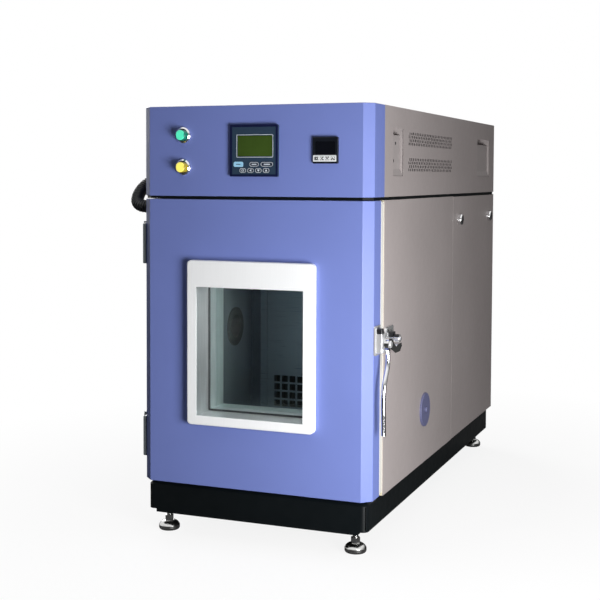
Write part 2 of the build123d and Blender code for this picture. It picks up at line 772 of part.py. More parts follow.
# Control chassis inside the head: mounting plate, rail, contactors, supply and terminals
chassis_inset = 52.0
chassis_y = (150.0, 620.0)
chassis_plate = 3.0
rail_y = (300.0, 335.0)
rail_height = 7.0
contactor = (44.0, 75.0, 81.0)
supply_size = (120.0, 100.0, 53.0)
terminal = (9.0, 40.0, 42.0)
terminal_pitch = 12.0
terminal_count = 20
chassis_half = side - chassis_inset
chassis_z = head_bottom + chassis_plate
rail_top = chassis_z + rail_height
rail_half = chassis_half - 30.0
rail_mid = (rail_y[0] + rail_y[1]) / 2
terminal_y = chassis_y[1] - 140.0
chassis = block((-chassis_half, chassis_half), chassis_y, (head_bottom, chassis_z))
rail = block((-rail_half, rail_half), rail_y, (chassis_z, rail_top))
contactor_y = (rail_mid - contactor[1] / 2, rail_mid + contactor[1] / 2)
contactors = [
    block((x, x + contactor[0]), contactor_y, (rail_top, rail_top + contactor[2]))
    for x in [10.0 - rail_half + (contactor[0] + 4.0) * step for step in range(3)]
]
supply = block(
    (rail_half - 10 - supply_size[0], rail_half - 10),
    (rail_mid - supply_size[1] / 2, rail_mid + supply_size[1] / 2),
    (rail_top, rail_top + supply_size[2]),
)
terminals = [
    block((x, x + terminal[0]), (terminal_y, terminal_y + terminal[1]), (chassis_z, chassis_z + terminal[2]))
    for x in [terminal_pitch * (step - terminal_count / 2) for step in range(terminal_count)]
]
save("control_chassis", chassis + rail + contactors + supply + terminals)

# Temperature controller in its square cut-out, with pockets for the screen and keys
controller_left = controller_across - controller_size / 2
controller_top = controller_z + controller_size / 2
screen = (14.5, 20.0, 70.5, 38.5)
controller_keys = {
    "controller_key_run": (17.1, 73.2, 19.0, 9.6, 3.2),
    "controller_key_menu": (49.0, 73.2, 19.0, 8.8, 4.0),
    "controller_key_page": (74.6, 73.2, 25.0, 8.8, 4.0),
    "controller_key_back": (26.1, 84.6, 13.4, 9.0, 4.2),
    "controller_key_left": (41.8, 84.6, 13.4, 9.0, 4.2),
    "controller_key_down": (57.5, 84.6, 13.4, 9.0, 4.2),
    "controller_key_up": (73.2, 84.6, 13.4, 9.0, 4.2),
}
controller = plate_xz(
    (controller_left, controller_left + controller_size),
    (-controller_proud, 0),
    (controller_top - controller_size, controller_top),
    2.5,
)
controller = fillet(controller.faces().sort_by(Axis.Y)[0].edges(), 1.2)
controller += block(
    (controller_across - controller_body / 2, controller_across + controller_body / 2),
    (0, controller_depth),
    (controller_z - controller_body / 2, controller_z + controller_body / 2),
)
controller -= block(
    (controller_left + screen[0], controller_left + screen[0] + screen[2]),
    (-controller_proud - 1, 1.5 - controller_proud),
    (controller_top - screen[1] - screen[3], controller_top - screen[1]),
)


def key_plate(corner, centre, size, radius, grow, y):
    """Key outline on an instrument's face, measured from the face's upper left corner."""
    x = corner[0] + centre[0]
    z = corner[1] - centre[1]
    return plate_xz(
        (x - size[0] / 2 - grow, x + size[0] / 2 + grow),
        y,
        (z - size[1] / 2 - grow, z + size[1] / 2 + grow),
        radius + grow,
    )


pocket_gap = key_travel + 0.3
for name, (across, down, width, height, radius) in controller_keys.items():
    corner = (controller_left, controller_top)
    front = -controller_proud - key_proud
    back = front + key_depth
    pocket = (front - 1, back + pocket_gap)
    controller -= key_plate(corner, (across, down), (width, height), radius, key_clearance, pocket)
    save(name, key_plate(corner, (across, down), (width, height), radius, 0, (front, back)))
save("controller_case", controller)

# Over-temperature limiter, with a white key strip
limiter_left = limiter_across - limiter_size / 2
limiter_top = controller_z + limiter_size / 2
limiter_keys = {
    "limiter_key_set": (7.9, 38.6, 6.6, 5.0, 2.2),
    "limiter_key_left": (18.1, 38.6, 6.6, 5.0, 2.2),
    "limiter_key_down": (28.3, 38.6, 6.6, 5.0, 2.2),
    "limiter_key_up": (38.5, 38.6, 6.6, 5.0, 2.2),
}
limiter = plate_xz(
    (limiter_left, limiter_left + limiter_size),
    (-controller_proud, 0),
    (limiter_top - limiter_size, limiter_top),
    2.0,
)
limiter = fillet(limiter.faces().sort_by(Axis.Y)[0].edges(), 1.0)
limiter += block(
    (limiter_across - limiter_body / 2, limiter_across + limiter_body / 2),
    (0, limiter_depth),
    (controller_z - limiter_body / 2, controller_z + limiter_body / 2),
)
limiter -= block(
    (limiter_left + 5, limiter_left + limiter_size - 5),
    (-controller_proud - 1, 1.0 - controller_proud),
    (limiter_top - 31, limiter_top - 8),
)
for name, (across, down, width, height, radius) in limiter_keys.items():
    corner = (limiter_left, limiter_top)
    front = -controller_proud - key_proud
    back = front + key_depth
    pocket = (front - 1, back + pocket_gap)
    limiter -= key_plate(corner, (across, down), (width, height), radius, key_clearance, pocket)
    save(name, key_plate(corner, (across, down), (width, height), radius, 0, (front, back)))
save("limiter_case", limiter)

# Push buttons: chrome bezels with threaded tubes, and sprung caps
tube_back = 26.0
housings = []
for name, z in zip(("green_button", "yellow_button"), button_z):
    bezel = rod_y(button_across, (-bezel_proud, 0), z, bezel_diameter / 2)
    bezel = chamfer(bezel.faces().sort_by(Axis.Y)[0].edges(), 2.5)
    housing = bezel + rod_y(button_across, (0, tube_back), z, thread_radius)
    housing += rod_y(button_across, (sheet, sheet + 5), z, thread_radius + 3.5)
    housing += block((button_across - 15, button_across + 15), (tube_back, tube_back + 30), (z - 20, z + 20))
    cap_back = tube_back - 4.0
    housing -= rod_y(button_across, (-bezel_proud - 1, cap_back + button_travel - 0.4), z, button_bore / 2)
    housings.append(housing)
    cap = rod_y(button_across, (-button_proud, cap_back - 0.8), z, button_diameter / 2)
    cap = fillet(cap.faces().sort_by(Axis.Y)[0].edges(), 2.4)
    save(name, cap)
save("button_bezels", *housings)

# Hinges: two knuckles on the door's leaf, one on the cabinet's, around a headed pin
door_leaves = []
cabinet_leaves = []
knuckle = (hinge_height - 2 * hinge_knuckle_gap) / 3
for z0 in (door_bottom + lower_hinge, door_top - upper_hinge - hinge_height):
    levels = (z0, z0 + knuckle, z0 + 2 * knuckle + hinge_knuckle_gap, z0 + hinge_height)
    middle = (levels[1] + hinge_knuckle_gap, levels[2])
    lower = (levels[0], levels[1])
    upper = (levels[2] + hinge_knuckle_gap, levels[3])
    leaf_x = (-side - hinge_leaf, -side)
    lug_x = (pivot_x, -side - 2.0)
    clear = hinge_radius + 0.6
    pin_bore = rod_z(pivot_x, hinge_back, (z0 - 1, levels[3] + 1), hinge_pin + fit_clearance)
    leaf = plate_yz(leaf_x, (hinge_back - clear - 22, hinge_back - clear), (z0, levels[3]), 3.0)
    for level in (lower, upper):
        leaf += rod_z(pivot_x, hinge_back, level, hinge_radius)
        leaf += block(lug_x, (hinge_back - clear - 1, hinge_back), level)
    door_leaves.append(leaf - pin_bore)
    base_x = (-side - hinge_leaf, -side - hinge_leaf_gap)
    leaf = plate_yz(base_x, (hinge_back + clear, shell_front + 34), (z0, levels[3]), 3.0)
    leaf += block((-side - hinge_leaf, -side), (shell_front + 2, shell_front + 30), (z0 + 4, levels[3] - 4))
    leaf += rod_z(pivot_x, hinge_back, middle, hinge_radius)
    leaf += block((pivot_x, -side - 2.0), (hinge_back, hinge_back + clear + 1), middle)
    leaf += rod_z(pivot_x, hinge_back, (z0, levels[3] + 0.3), hinge_pin)
    pin_head = rod_z(pivot_x, hinge_back, (levels[3] + 0.3, levels[3] + 3.3), hinge_radius - 0.3)
    leaf += fillet(pin_head.faces().sort_by(Axis.Z)[-1].edges(), 1.0)
    cabinet_leaves.append(leaf)
save("hinge_leaves_door", *door_leaves)
save("hinge_leaves_cabinet", *cabinet_leaves)

# Door skin: folded sheet with cut corners and the window's opening
reveal_x = (window_left - window_reveal_wall, window_right + window_reveal_wall)
reveal_z = (window_bottom - window_reveal_wall, window_top + window_reveal_wall)
window_hole = block(reveal_x, (-1, shell_front + plug_depth), reveal_z)
door_skin = folded_prism(door_depth, (door_bottom, door_top))
door_skin -= front_prism(sheet, door_depth + 1, (door_bottom + sheet, door_top - sheet))
door_skin -= window_hole
save("door_skin", door_skin)

# Door core and stainless plug, tapered so that it swings out of the chamber
plug_half = cavity_half - plug_clearance
plug_z = (cavity_floor + plug_clearance, cavity_top - plug_clearance)
plug_back = door_depth + plug_depth
core = front_prism(sheet, door_depth, (door_bottom + sheet, door_top - sheet))
plug_mid = (plug_z[0] + plug_z[1]) / 2
plug_tall = plug_z[1] - plug_z[0]
plug_root = Pos(0, door_depth, plug_mid) * (Plane.XZ * RectangleRounded(2 * plug_half, plug_tall, 14.0))
plug_tip = Pos(0, plug_back, plug_mid) * (
    Plane.XZ * RectangleRounded(2 * (plug_half - plug_taper), plug_tall - 2 * plug_taper, 10.0)
)
core += loft([plug_root.face(), plug_tip.face()])
core -= window_hole
inner = sheet + pan_wall
hollow = front_prism(inner, door_depth - pan_wall, (door_bottom + inner, door_top - inner))
hollow_root = Pos(0, door_depth - 2 * pan_wall, plug_mid) * (
    Plane.XZ * RectangleRounded(2 * (plug_half - pan_wall), plug_tall - 2 * pan_wall, 13.0)
)
tip_inset = plug_taper + pan_wall
hollow_tip = Pos(0, plug_back - pan_wall, plug_mid) * (
    Plane.XZ * RectangleRounded(2 * (plug_half - tip_inset), plug_tall - 2 * tip_inset, 9.0)
)
hollow += loft([hollow_root.face(), hollow_tip.face()])
hollow -= block(
    (reveal_x[0] - pan_wall, reveal_x[1] + pan_wall),
    (0, plug_back),
    (reveal_z[0] - pan_wall, reveal_z[1] + pan_wall),
)
save("door_inner_pan", core - hollow)

# Window: rounded aluminium frame with a deep reveal, and the spacers behind the panes
frame_x_limits = (window_left - window_stile, window_right + window_stile)
frame_z_limits = (window_bottom - window_bottom_rail, window_top + window_top_rail)
window_frame = plate_xz(frame_x_limits, (-window_stand_off, 0), frame_z_limits, 8.0)
window_frame = fillet(window_frame.faces().sort_by(Axis.Y)[0].edges(), 2.5)
window_frame += block(reveal_x, (-1, pane_setback), reveal_z)
window_frame -= block(
    (window_left, window_right), (-window_stand_off - 1, pane_setback + 1), (window_bottom, window_top)
)
pane_levels = [
    pane_setback,
    pane_setback + pane_thickness + 22.0,
    plug_back - pane_thickness - 2.0,
]
spacers = []
for front, back in zip(pane_levels[:-1], pane_levels[1:]):
    ring = block(reveal_x, (front + pane_thickness, back), reveal_z)
    ring -= block(
        (reveal_x[0] + spacer_width, reveal_x[1] - spacer_width),
        (front, back + 1),
        (reveal_z[0] + spacer_width, reveal_z[1] - spacer_width),
    )
    spacers.append(ring)
save("window_frame", window_frame, *spacers)

panes = [block(reveal_x, (front, front + pane_thickness), reveal_z) for front in pane_levels]
save("window_glass", *panes)

# Silicone seal: base strip from the door's edge to the chamber's, with a lip along each side
seal_outer = (side - seal_edge, door_bottom + seal_edge, door_top - seal_edge)
seal_inner = (cavity_half, cavity_floor, cavity_top)


def seal_ring(y, outer, inner):
    """Rectangular ring round the plug, between two outlines of half width, bottom and top."""
    ring = plate_xz((-outer[0], outer[0]), y, outer[1:], 10.0)
    return ring - plate_xz((-inner[0], inner[0]), (y[0] - 1, y[1] + 1), inner[1:], 6.0)


def inside(outline, inset):
    """The outline drawn in by an inset."""
    return (outline[0] - inset, outline[1] + inset, outline[2] - inset)


lip_inset = 1.5
lip_y = (door_depth + seal_base - 1, seal_back)
seal = seal_ring((door_depth, door_depth + seal_base), seal_outer, seal_inner)
seal += seal_ring(lip_y, inside(seal_outer, lip_inset), inside(seal_outer, lip_inset + seal_lip))
seal += seal_ring(lip_y, inside(seal_inner, -lip_inset - seal_lip), inside(seal_inner, -lip_inset))
save("door_gasket", seal)

# Latch base on the door's side, with the lever's pin
plate_y = (16.0, 50.0)
plate_z = (latch_pivot_height - 20, latch_pivot_height + 34)
block_x = (side + latch_plate, side + latch_plate + latch_block)
latch_base = plate_yz((side, side + latch_plate), plate_y, plate_z, 3.0)
housing_outline = Polyline(
    (20, plate_z[0] + 4),
    (latch_pivot_back + 8, plate_z[0] + 4),
    (latch_pivot_back + 12, latch_pivot_height),
    (latch_pivot_back + 4, latch_pivot_height + 14),
    (32, plate_z[1] - 4),
    (20, plate_z[1] - 4),
    close=True,
)
housing = Pos(block_x[0], 0, 0) * extrude(Plane.YZ * make_face(housing_outline), amount=latch_block)
housing = fillet(housing.edges().filter_by(Axis.X), 3.0)
housing = fillet(housing.faces().sort_by(Axis.X)[-1].edges(), 1.5)
latch_base += housing
latch_base += rod_x((block_x[1] - 1, lever_x1 + 0.4), latch_pivot_back, latch_pivot_height, latch_pin)
pin_cap = rod_x((lever_x1 + 0.4, lever_x1 + 3.4), latch_pivot_back, latch_pivot_height, latch_pin + 3)
latch_base += fillet(pin_cap.faces().sort_by(Axis.X)[-1].edges(), 1.5)
save("latch_base", latch_base)

# Latch lever: hub, hooked nose under the keeper's roller, and a hanging S-bent handle
nose_top = roller_height - roller_radius - nose_clearance
pivot = (latch_pivot_back, latch_pivot_height)
hub = rod_x((lever_x0, lever_x1), pivot[0], pivot[1], latch_hub)
nose_outline = Polyline(
    (pivot[0], pivot[1] + 10),
    (pivot[0] + 14, pivot[1] + 9),
    (roller_back - 22, nose_top - 4),
    (roller_back - 12, nose_top),
    (roller_back + 12, nose_top),
    (roller_back + 15, nose_top - 6),
    (roller_back + 4, nose_top - 15),
    (roller_back - 26, nose_top - 15),
    (pivot[0] + 6, pivot[1] - 9),
    close=True,
)
nose = Pos(lever_x0, 0, 0) * extrude(Plane.YZ * make_face(nose_outline), amount=lever_thickness)
nose = fillet(nose.edges().filter_by(Axis.X), 1.6)
lever_mid = (lever_x0 + lever_x1) / 2
handle_route = Spline(
    (lever_mid, pivot[0], pivot[1] - 4),
    (lever_mid + 1.0, pivot[0], pivot[1] - 22),
    (lever_mid + 1.5, pivot[0] - 3, pivot[1] - 38),
    (lever_mid + 0.5, pivot[0] - 16, pivot[1] - 66),
    (lever_mid, pivot[0] - 22, pivot[1] - 95),
    (lever_mid, pivot[0] - 22, pivot[1] - 124),
    (lever_mid, pivot[0] - 20, pivot[1] - 164),
)
sections = []
for share, width in ((0, 9.0), (0.3, 8.0), (0.62, 8.5), (1.0, 10.0)):
    plane = Plane(origin=handle_route @ share, x_dir=(1, 0, 0), z_dir=handle_route % share)
    sections.append(plane * Ellipse(lever_thickness / 2 - 0.2, width / 2))
handle = sweep([section.face() for section in sections], path=handle_route, multisection=True)
lever = hub + nose + handle
lever -= rod_x((lever_x0 - 1, lever_x1 + 1), pivot[0], pivot[1], latch_pin + fit_clearance)
save("latch_lever", lever)

# Keeper on the cabinet: plate, post, roller and two screws
keeper_y = (shell_front + 3, roller_back + 30)
keeper_z = (roller_height - 26, roller_height + 22)
keeper = plate_yz((side, side + latch_plate), keeper_y, keeper_z, 4.0)
keeper += block(
    (side + latch_plate - 1, lever_x0 - 2),
    (roller_back - 9, roller_back + 9),
    (roller_height - 7, roller_height + 12),
)
keeper += rod_x((side + latch_plate, lever_x1 + 3), roller_back, roller_height, roller_pin)
roller = rod_x((lever_x0 - 1, lever_x1 + 1), roller_back, roller_height, roller_radius)
keeper += fillet(roller.faces().sort_by(Axis.X)[-1].edges(), 2.0)
for y, z in ((keeper_y[0] + 7, keeper_z[1] - 7), (keeper_y[1] - 7, keeper_z[0] + 7)):
    screw = rod_x((side + latch_plate, side + latch_plate + 2.4), y, z, 4.0)
    keeper += fillet(screw.faces().sort_by(Axis.X)[-1].edges(), 1.2)
save("latch_keeper", keeper)

# Cable conduit from the head to the door, with a gland at each end
conduit_diameter = 25.0
gland_length = 5.0
gland_x = -side - gland_length
door_gland = (41.0, door_top - 16.0)
head_gland = (106.0, head_bottom + 31.0)
conduit_bow = [
    (0.0, 0.0),
    (15.0, 0.0),
    (28.2, 0.084),
    (36.6, 0.232),
    (40.6, 0.5),
    (36.6, 0.768),
    (28.2, 0.916),
    (15.0, 1.0),
    (0.0, 1.0),
]
conduit_route = [
    (
        gland_x - bow,
        head_gland[0] + share * (door_gland[0] - head_gland[0]),
        head_gland[1] + share * (door_gland[1] - head_gland[1]),
    )
    for bow, share in conduit_bow
]


def corner_radii(points, share):
    """Radius for each corner: a share of the shorter run, over the tangent of half the turn."""
    radii = []
    for before, here, after in zip(points[:-2], points[1:-1], points[2:]):
        first = Vector(*here) - Vector(*before)
        second = Vector(*after) - Vector(*here)
        half_turn = math.radians(first.get_angle(second)) / 2
        radii.append(share * min(first.length, second.length) / math.tan(half_turn))
    return radii


conduit_radii = corner_radii(conduit_route, 0.45)
conduit_path = FilletPolyline(*conduit_route, radius=conduit_radii)
conduit = sweep(
    Plane(origin=conduit_path @ 0, z_dir=conduit_path % 0) * Circle(conduit_diameter / 2), path=conduit_path
)
save("control_conduit", conduit)
print("conduit radii", [round(radius) for radius in conduit_radii], "length", round(conduit_path.length))
print("conduit volume over section times length", round(
    conduit.volume / (math.pi * conduit_diameter ** 2 / 4 * conduit_path.length), 4
))

for name, (y, z) in (("conduit_gland_head", head_gland), ("conduit_gland_door", door_gland)):
    gland = rod_x((gland_x + 2.5, -side), y, z, conduit_diameter / 2 + 2)
    gland += rod_x((gland_x, gland_x + 2.5), y, z, conduit_diameter / 2 + 1)
    save(name, gland)
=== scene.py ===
import math

import bmesh
import bpy
from mathutils import Matrix, Vector
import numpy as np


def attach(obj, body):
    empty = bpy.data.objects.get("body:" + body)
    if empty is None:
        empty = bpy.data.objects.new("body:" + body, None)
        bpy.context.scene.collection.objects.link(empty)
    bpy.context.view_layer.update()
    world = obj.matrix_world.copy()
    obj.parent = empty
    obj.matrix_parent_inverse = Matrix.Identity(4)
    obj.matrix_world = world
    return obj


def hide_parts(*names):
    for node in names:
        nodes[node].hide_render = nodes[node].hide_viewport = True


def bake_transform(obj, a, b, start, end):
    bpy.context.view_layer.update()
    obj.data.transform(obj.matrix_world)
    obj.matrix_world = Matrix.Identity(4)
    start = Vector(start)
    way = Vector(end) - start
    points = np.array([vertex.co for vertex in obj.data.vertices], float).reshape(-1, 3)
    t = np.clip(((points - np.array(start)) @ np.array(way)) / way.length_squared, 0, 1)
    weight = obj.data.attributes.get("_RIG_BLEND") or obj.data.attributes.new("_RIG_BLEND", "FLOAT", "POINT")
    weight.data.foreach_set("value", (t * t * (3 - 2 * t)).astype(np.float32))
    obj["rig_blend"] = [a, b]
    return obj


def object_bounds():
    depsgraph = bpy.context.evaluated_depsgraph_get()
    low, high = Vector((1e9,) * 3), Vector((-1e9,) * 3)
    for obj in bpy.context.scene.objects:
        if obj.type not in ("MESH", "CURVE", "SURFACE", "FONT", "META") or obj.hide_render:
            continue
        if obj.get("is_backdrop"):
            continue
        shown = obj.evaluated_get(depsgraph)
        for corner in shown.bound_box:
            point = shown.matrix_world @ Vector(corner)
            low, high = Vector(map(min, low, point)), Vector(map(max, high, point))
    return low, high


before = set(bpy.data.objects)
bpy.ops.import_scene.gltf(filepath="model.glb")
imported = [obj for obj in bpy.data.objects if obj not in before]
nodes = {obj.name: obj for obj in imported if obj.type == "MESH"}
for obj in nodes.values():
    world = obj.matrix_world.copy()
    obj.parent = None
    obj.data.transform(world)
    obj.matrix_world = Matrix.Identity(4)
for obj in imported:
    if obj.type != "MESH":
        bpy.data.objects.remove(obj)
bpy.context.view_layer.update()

# Sizes below are in millimetres from the cabinet's front face (Y) and the plinth's underside (Z),
# as the cabinet's drawing has them; at() turns them into the frame's metres.
CABINET_DEPTH = 1035.0
FOOT_HEIGHT = 46.0
SIDE = 232.0
HEAD_BOTTOM = 611.0
HEAD_TOP = 781.0


def at(x, y, z):
    """A point of the cabinet's drawing, in the frame's metres."""
    return Vector((x / 1000, (y - CABINET_DEPTH / 2) / 1000, (z + FOOT_HEIGHT) / 1000))


# ---------- camera ----------
EYE = at(883.2, -2058.9, 647.8)
YAW = 0.388
PITCH = 0.050
ROLL = 0.003

forward = Vector((-math.sin(YAW) * math.cos(PITCH), math.cos(YAW) * math.cos(PITCH), -math.sin(PITCH)))
level = Vector((math.cos(YAW), math.sin(YAW), 0))
upright = level.cross(forward)
right = level * math.cos(ROLL) + upright * math.sin(ROLL)
up = upright * math.cos(ROLL) - level * math.sin(ROLL)
camera_data = bpy.data.cameras.new("camera")
camera = bpy.data.objects.new("camera", camera_data)
bpy.context.scene.collection.objects.link(camera)
turn = Matrix((right, up, -forward)).transposed().to_4x4()
camera.matrix_world = Matrix.Translation(EYE) @ turn
camera_data.sensor_width = 36.0
camera_data.lens = 72.3
camera_data.shift_x = 0.0448
camera_data.shift_y = -0.1048
camera_data.clip_start = 0.05
camera_data.clip_end = 60
bpy.context.scene.camera = camera


# ---------- finishes ----------
def finish(name):
    """A new material with its tree, its shader and its object coordinates."""
    material = bpy.data.materials.new(name)
    material.use_nodes = True
    tree = material.node_tree
    shader = tree.nodes["Principled BSDF"]
    coordinates = tree.nodes.new("ShaderNodeTexCoord")
    return material, tree, shader, coordinates.outputs["Object"]


def stretched(tree, source, scale):
    """Coordinates scaled along each axis."""
    mapping = tree.nodes.new("ShaderNodeMapping")
    mapping.inputs["Scale"].default_value = scale
    tree.links.new(source, mapping.inputs["Vector"])
    return mapping.outputs["Vector"]


def grain(tree, source, scale, detail=3.0, rough=0.55):
    """Noise of so many cells to the metre."""
    noise = tree.nodes.new("ShaderNodeTexNoise")
    noise.inputs["Scale"].default_value = scale
    noise.inputs["Detail"].default_value = detail
    noise.inputs["Roughness"].default_value = rough
    tree.links.new(source, noise.inputs["Vector"])
    return noise.outputs["Fac"]


def between(tree, value, low, high, start=0.3, end=0.7):
    """A value moved from one range to another."""
    ranged = tree.nodes.new("ShaderNodeMapRange")
    ranged.inputs["From Min"].default_value = start
    ranged.inputs["From Max"].default_value = end
    ranged.inputs["To Min"].default_value = low
    ranged.inputs["To Max"].default_value = high
    tree.links.new(value, ranged.inputs["Value"])
    return ranged.outputs["Result"]


def tones(tree, value, dark, light, start=0.3, end=0.7):
    """Two tones of one colour, mixed by a value."""
    ramp = tree.nodes.new("ShaderNodeValToRGB")
    ramp.color_ramp.elements[0].position = start
    ramp.color_ramp.elements[0].color = (*dark, 1)
    ramp.color_ramp.elements[1].position = end
    ramp.color_ramp.elements[1].color = (*light, 1)
    tree.links.new(value, ramp.inputs["Fac"])
    return ramp.outputs["Color"]


def relief(tree, shader, height, depth, strength=1.0):
    """Surface relief of so many metres, under the shader's normal."""
    bump = tree.nodes.new("ShaderNodeBump")
    bump.inputs["Strength"].default_value = strength
    bump.inputs["Distance"].default_value = depth
    tree.links.new(height, bump.inputs["Height"])
    tree.links.new(bump.outputs["Normal"], shader.inputs["Normal"])


def shades(colour, spread):
    """A darker and a lighter shade of a colour."""
    dark = tuple(channel * (1 - spread) for channel in colour)
    light = tuple(min(1.0, channel * (1 + spread)) for channel in colour)
    return dark, light


def powder_coat(name, colour, rough, spread=0.05, peel=900, depth=0.00006, coat=0.0, specular=0.5):
    """Baked powder paint: faint patches of tone under a fine orange peel."""
    material, tree, shader, place = finish(name)
    dark, light = shades(colour, spread)
    tree.links.new(tones(tree, grain(tree, place, 5.0), dark, light), shader.inputs["Base Color"])
    gloss = between(tree, grain(tree, place, 60.0), rough - 0.04, rough + 0.05)
    tree.links.new(gloss, shader.inputs["Roughness"])
    relief(tree, shader, grain(tree, place, peel, 2.0), depth)
    shader.inputs["Specular IOR Level"].default_value = specular
    shader.inputs["Coat Weight"].default_value = coat
    shader.inputs["Coat Roughness"].default_value = 0.25
    return material


def brushed(name, colour, rough, along, spread=0.10, metal=1.0):
    """Sheet metal with a rolled or brushed grain along one axis."""
    material, tree, shader, place = finish(name)
    scale = [260.0, 260.0, 260.0]
    scale["xyz".index(along)] = 5.0
    strokes = grain(tree, stretched(tree, place, scale), 4.0, 4.0)
    dark, light = shades(colour, spread)
    tree.links.new(tones(tree, strokes, dark, light), shader.inputs["Base Color"])
    tree.links.new(between(tree, strokes, rough - 0.06, rough + 0.08), shader.inputs["Roughness"])
    relief(tree, shader, strokes, 0.000005)
    shader.inputs["Metallic"].default_value = metal
    return material


def plated(name, colour, rough, smudge=0.06):
    """Bright plating with faint smudges and hairline scratches."""
    material, tree, shader, place = finish(name)
    dark, light = shades(colour, 0.04)
    tree.links.new(tones(tree, grain(tree, place, 35.0), dark, light), shader.inputs["Base Color"])
    gloss = between(tree, grain(tree, place, 90.0, 5.0), rough, rough + smudge)
    tree.links.new(gloss, shader.inputs["Roughness"])
    relief(tree, shader, grain(tree, stretched(tree, place, (120, 900, 120)), 3.0), 0.00001)
    shader.inputs["Metallic"].default_value = 1.0
    return material


def moulded(name, colour, rough, texture=1400, depth=0.00004, spread=0.06, specular=0.5):
    """Moulded plastic or rubber with a fine eroded texture."""
    material, tree, shader, place = finish(name)
    dark, light = shades(colour, spread)
    tree.links.new(tones(tree, grain(tree, place, 20.0), dark, light), shader.inputs["Base Color"])
    gloss = between(tree, grain(tree, place, 200.0), rough - 0.05, rough + 0.06)
    tree.links.new(gloss, shader.inputs["Roughness"])
    relief(tree, shader, grain(tree, place, texture, 2.0), depth)
    shader.inputs["Specular IOR Level"].default_value = specular
    return material


def cast(name, colour, rough, depth=0.0003):
    """Painted casting or foam: a coarse uneven skin."""
    material, tree, shader, place = finish(name)
    dark, light = shades(colour, 0.15)
    skin = grain(tree, place, 260.0, 6.0)
    tree.links.new(tones(tree, skin, dark, light), shader.inputs["Base Color"])
    tree.links.new(between(tree, skin, rough - 0.08, rough + 0.1), shader.inputs["Roughness"])
    relief(tree, shader, skin, depth)
    return material


def within(tree, place, low, high):
    """One inside a box of the object's own coordinates, else nought."""
    axes = tree.nodes.new("ShaderNodeSeparateXYZ")
    tree.links.new(place, axes.inputs[0])
    inside = None
    for axis in range(3):
        for limit, test in ((low[axis], "GREATER_THAN"), (high[axis], "LESS_THAN")):
            check = tree.nodes.new("ShaderNodeMath")
            check.operation = test
            check.inputs[1].default_value = limit
            tree.links.new(axes.outputs[axis], check.inputs[0])
            if inside is None:
                inside = check.outputs[0]
                continue
            both = tree.nodes.new("ShaderNodeMath")
            both.operation = "MULTIPLY"
            tree.links.new(inside, both.inputs[0])
            tree.links.new(check.outputs[0], both.inputs[1])
            inside = both.outputs[0]
    return inside


def two_zones(tree, share, first, second):
    """Two tones of a piece's zones, mixed by a share."""
    zones = tree.nodes.new("ShaderNodeMix")
    zones.data_type = "RGBA"
    tree.links.new(share, zones.inputs["Factor"])
    tree.links.new(first, zones.inputs[6])
    tree.links.new(second, zones.inputs[7])
    return zones.outputs[2]


def framed_metal(name, face, reveal, low, high):
    """Pale satin metal whose inside, within a box, is bare brushed metal."""
    material, tree, shader, place = finish(name)
    strokes = grain(tree, stretched(tree, place, (260.0, 260.0, 5.0)), 4.0, 4.0)
    inside = within(tree, place, low, high)
    pale = tones(tree, strokes, *shades(face, 0.02))
    bare = tones(tree, strokes, *shades(reveal, 0.15))
    tree.links.new(two_zones(tree, inside, pale, bare), shader.inputs["Base Color"])
    tree.links.new(between(tree, inside, 0.04, 0.95, 0.0, 1.0), shader.inputs["Metallic"])
    tree.links.new(between(tree, strokes, 0.32, 0.44), shader.inputs["Roughness"])
    relief(tree, shader, strokes, 0.000005)
    return material


def plated_and_black(name, metal, low, high):
    """Bright plating, with black moulded parts within a box."""
    material, tree, shader, place = finish(name)
    inside = within(tree, place, low, high)
    bright = tones(tree, grain(tree, place, 35.0), *shades((0.80, 0.80, 0.81), 0.04))
    black = tones(tree, grain(tree, place, 60.0), *shades((0.012, 0.012, 0.014), 0.20))
    tree.links.new(two_zones(tree, inside, bright, black), shader.inputs["Base Color"])
    tree.links.new(between(tree, inside, metal, 0.0, 0.0, 1.0), shader.inputs["Metallic"])
    tree.links.new(between(tree, inside, 0.12, 0.38, 0.0, 1.0), shader.inputs["Roughness"])
    relief(tree, shader, grain(tree, place, 900.0, 2.0), 0.00001)
    return material


def lit_lens(name, rim, centre, low, high):
    """A button's lens: a bright face within a box, and a darker skirt."""
    material, tree, shader, place = finish(name)
    inside = within(tree, place, low, high)
    skirt = tones(tree, grain(tree, place, 60.0), *shades(rim, 0.08))
    face = tones(tree, grain(tree, place, 60.0), *shades(centre, 0.04))
    colour = two_zones(tree, inside, skirt, face)
    tree.links.new(colour, shader.inputs["Base Color"])
    tree.links.new(colour, shader.inputs["Emission Color"])
    tree.links.new(between(tree, inside, 0.0, 0.42, 0.0, 1.0), shader.inputs["Emission Strength"])
    tree.links.new(between(tree, grain(tree, place, 200.0), 0.12, 0.20), shader.inputs["Roughness"])
    relief(tree, shader, grain(tree, place, 2200.0, 2.0), 0.00001)
    return material


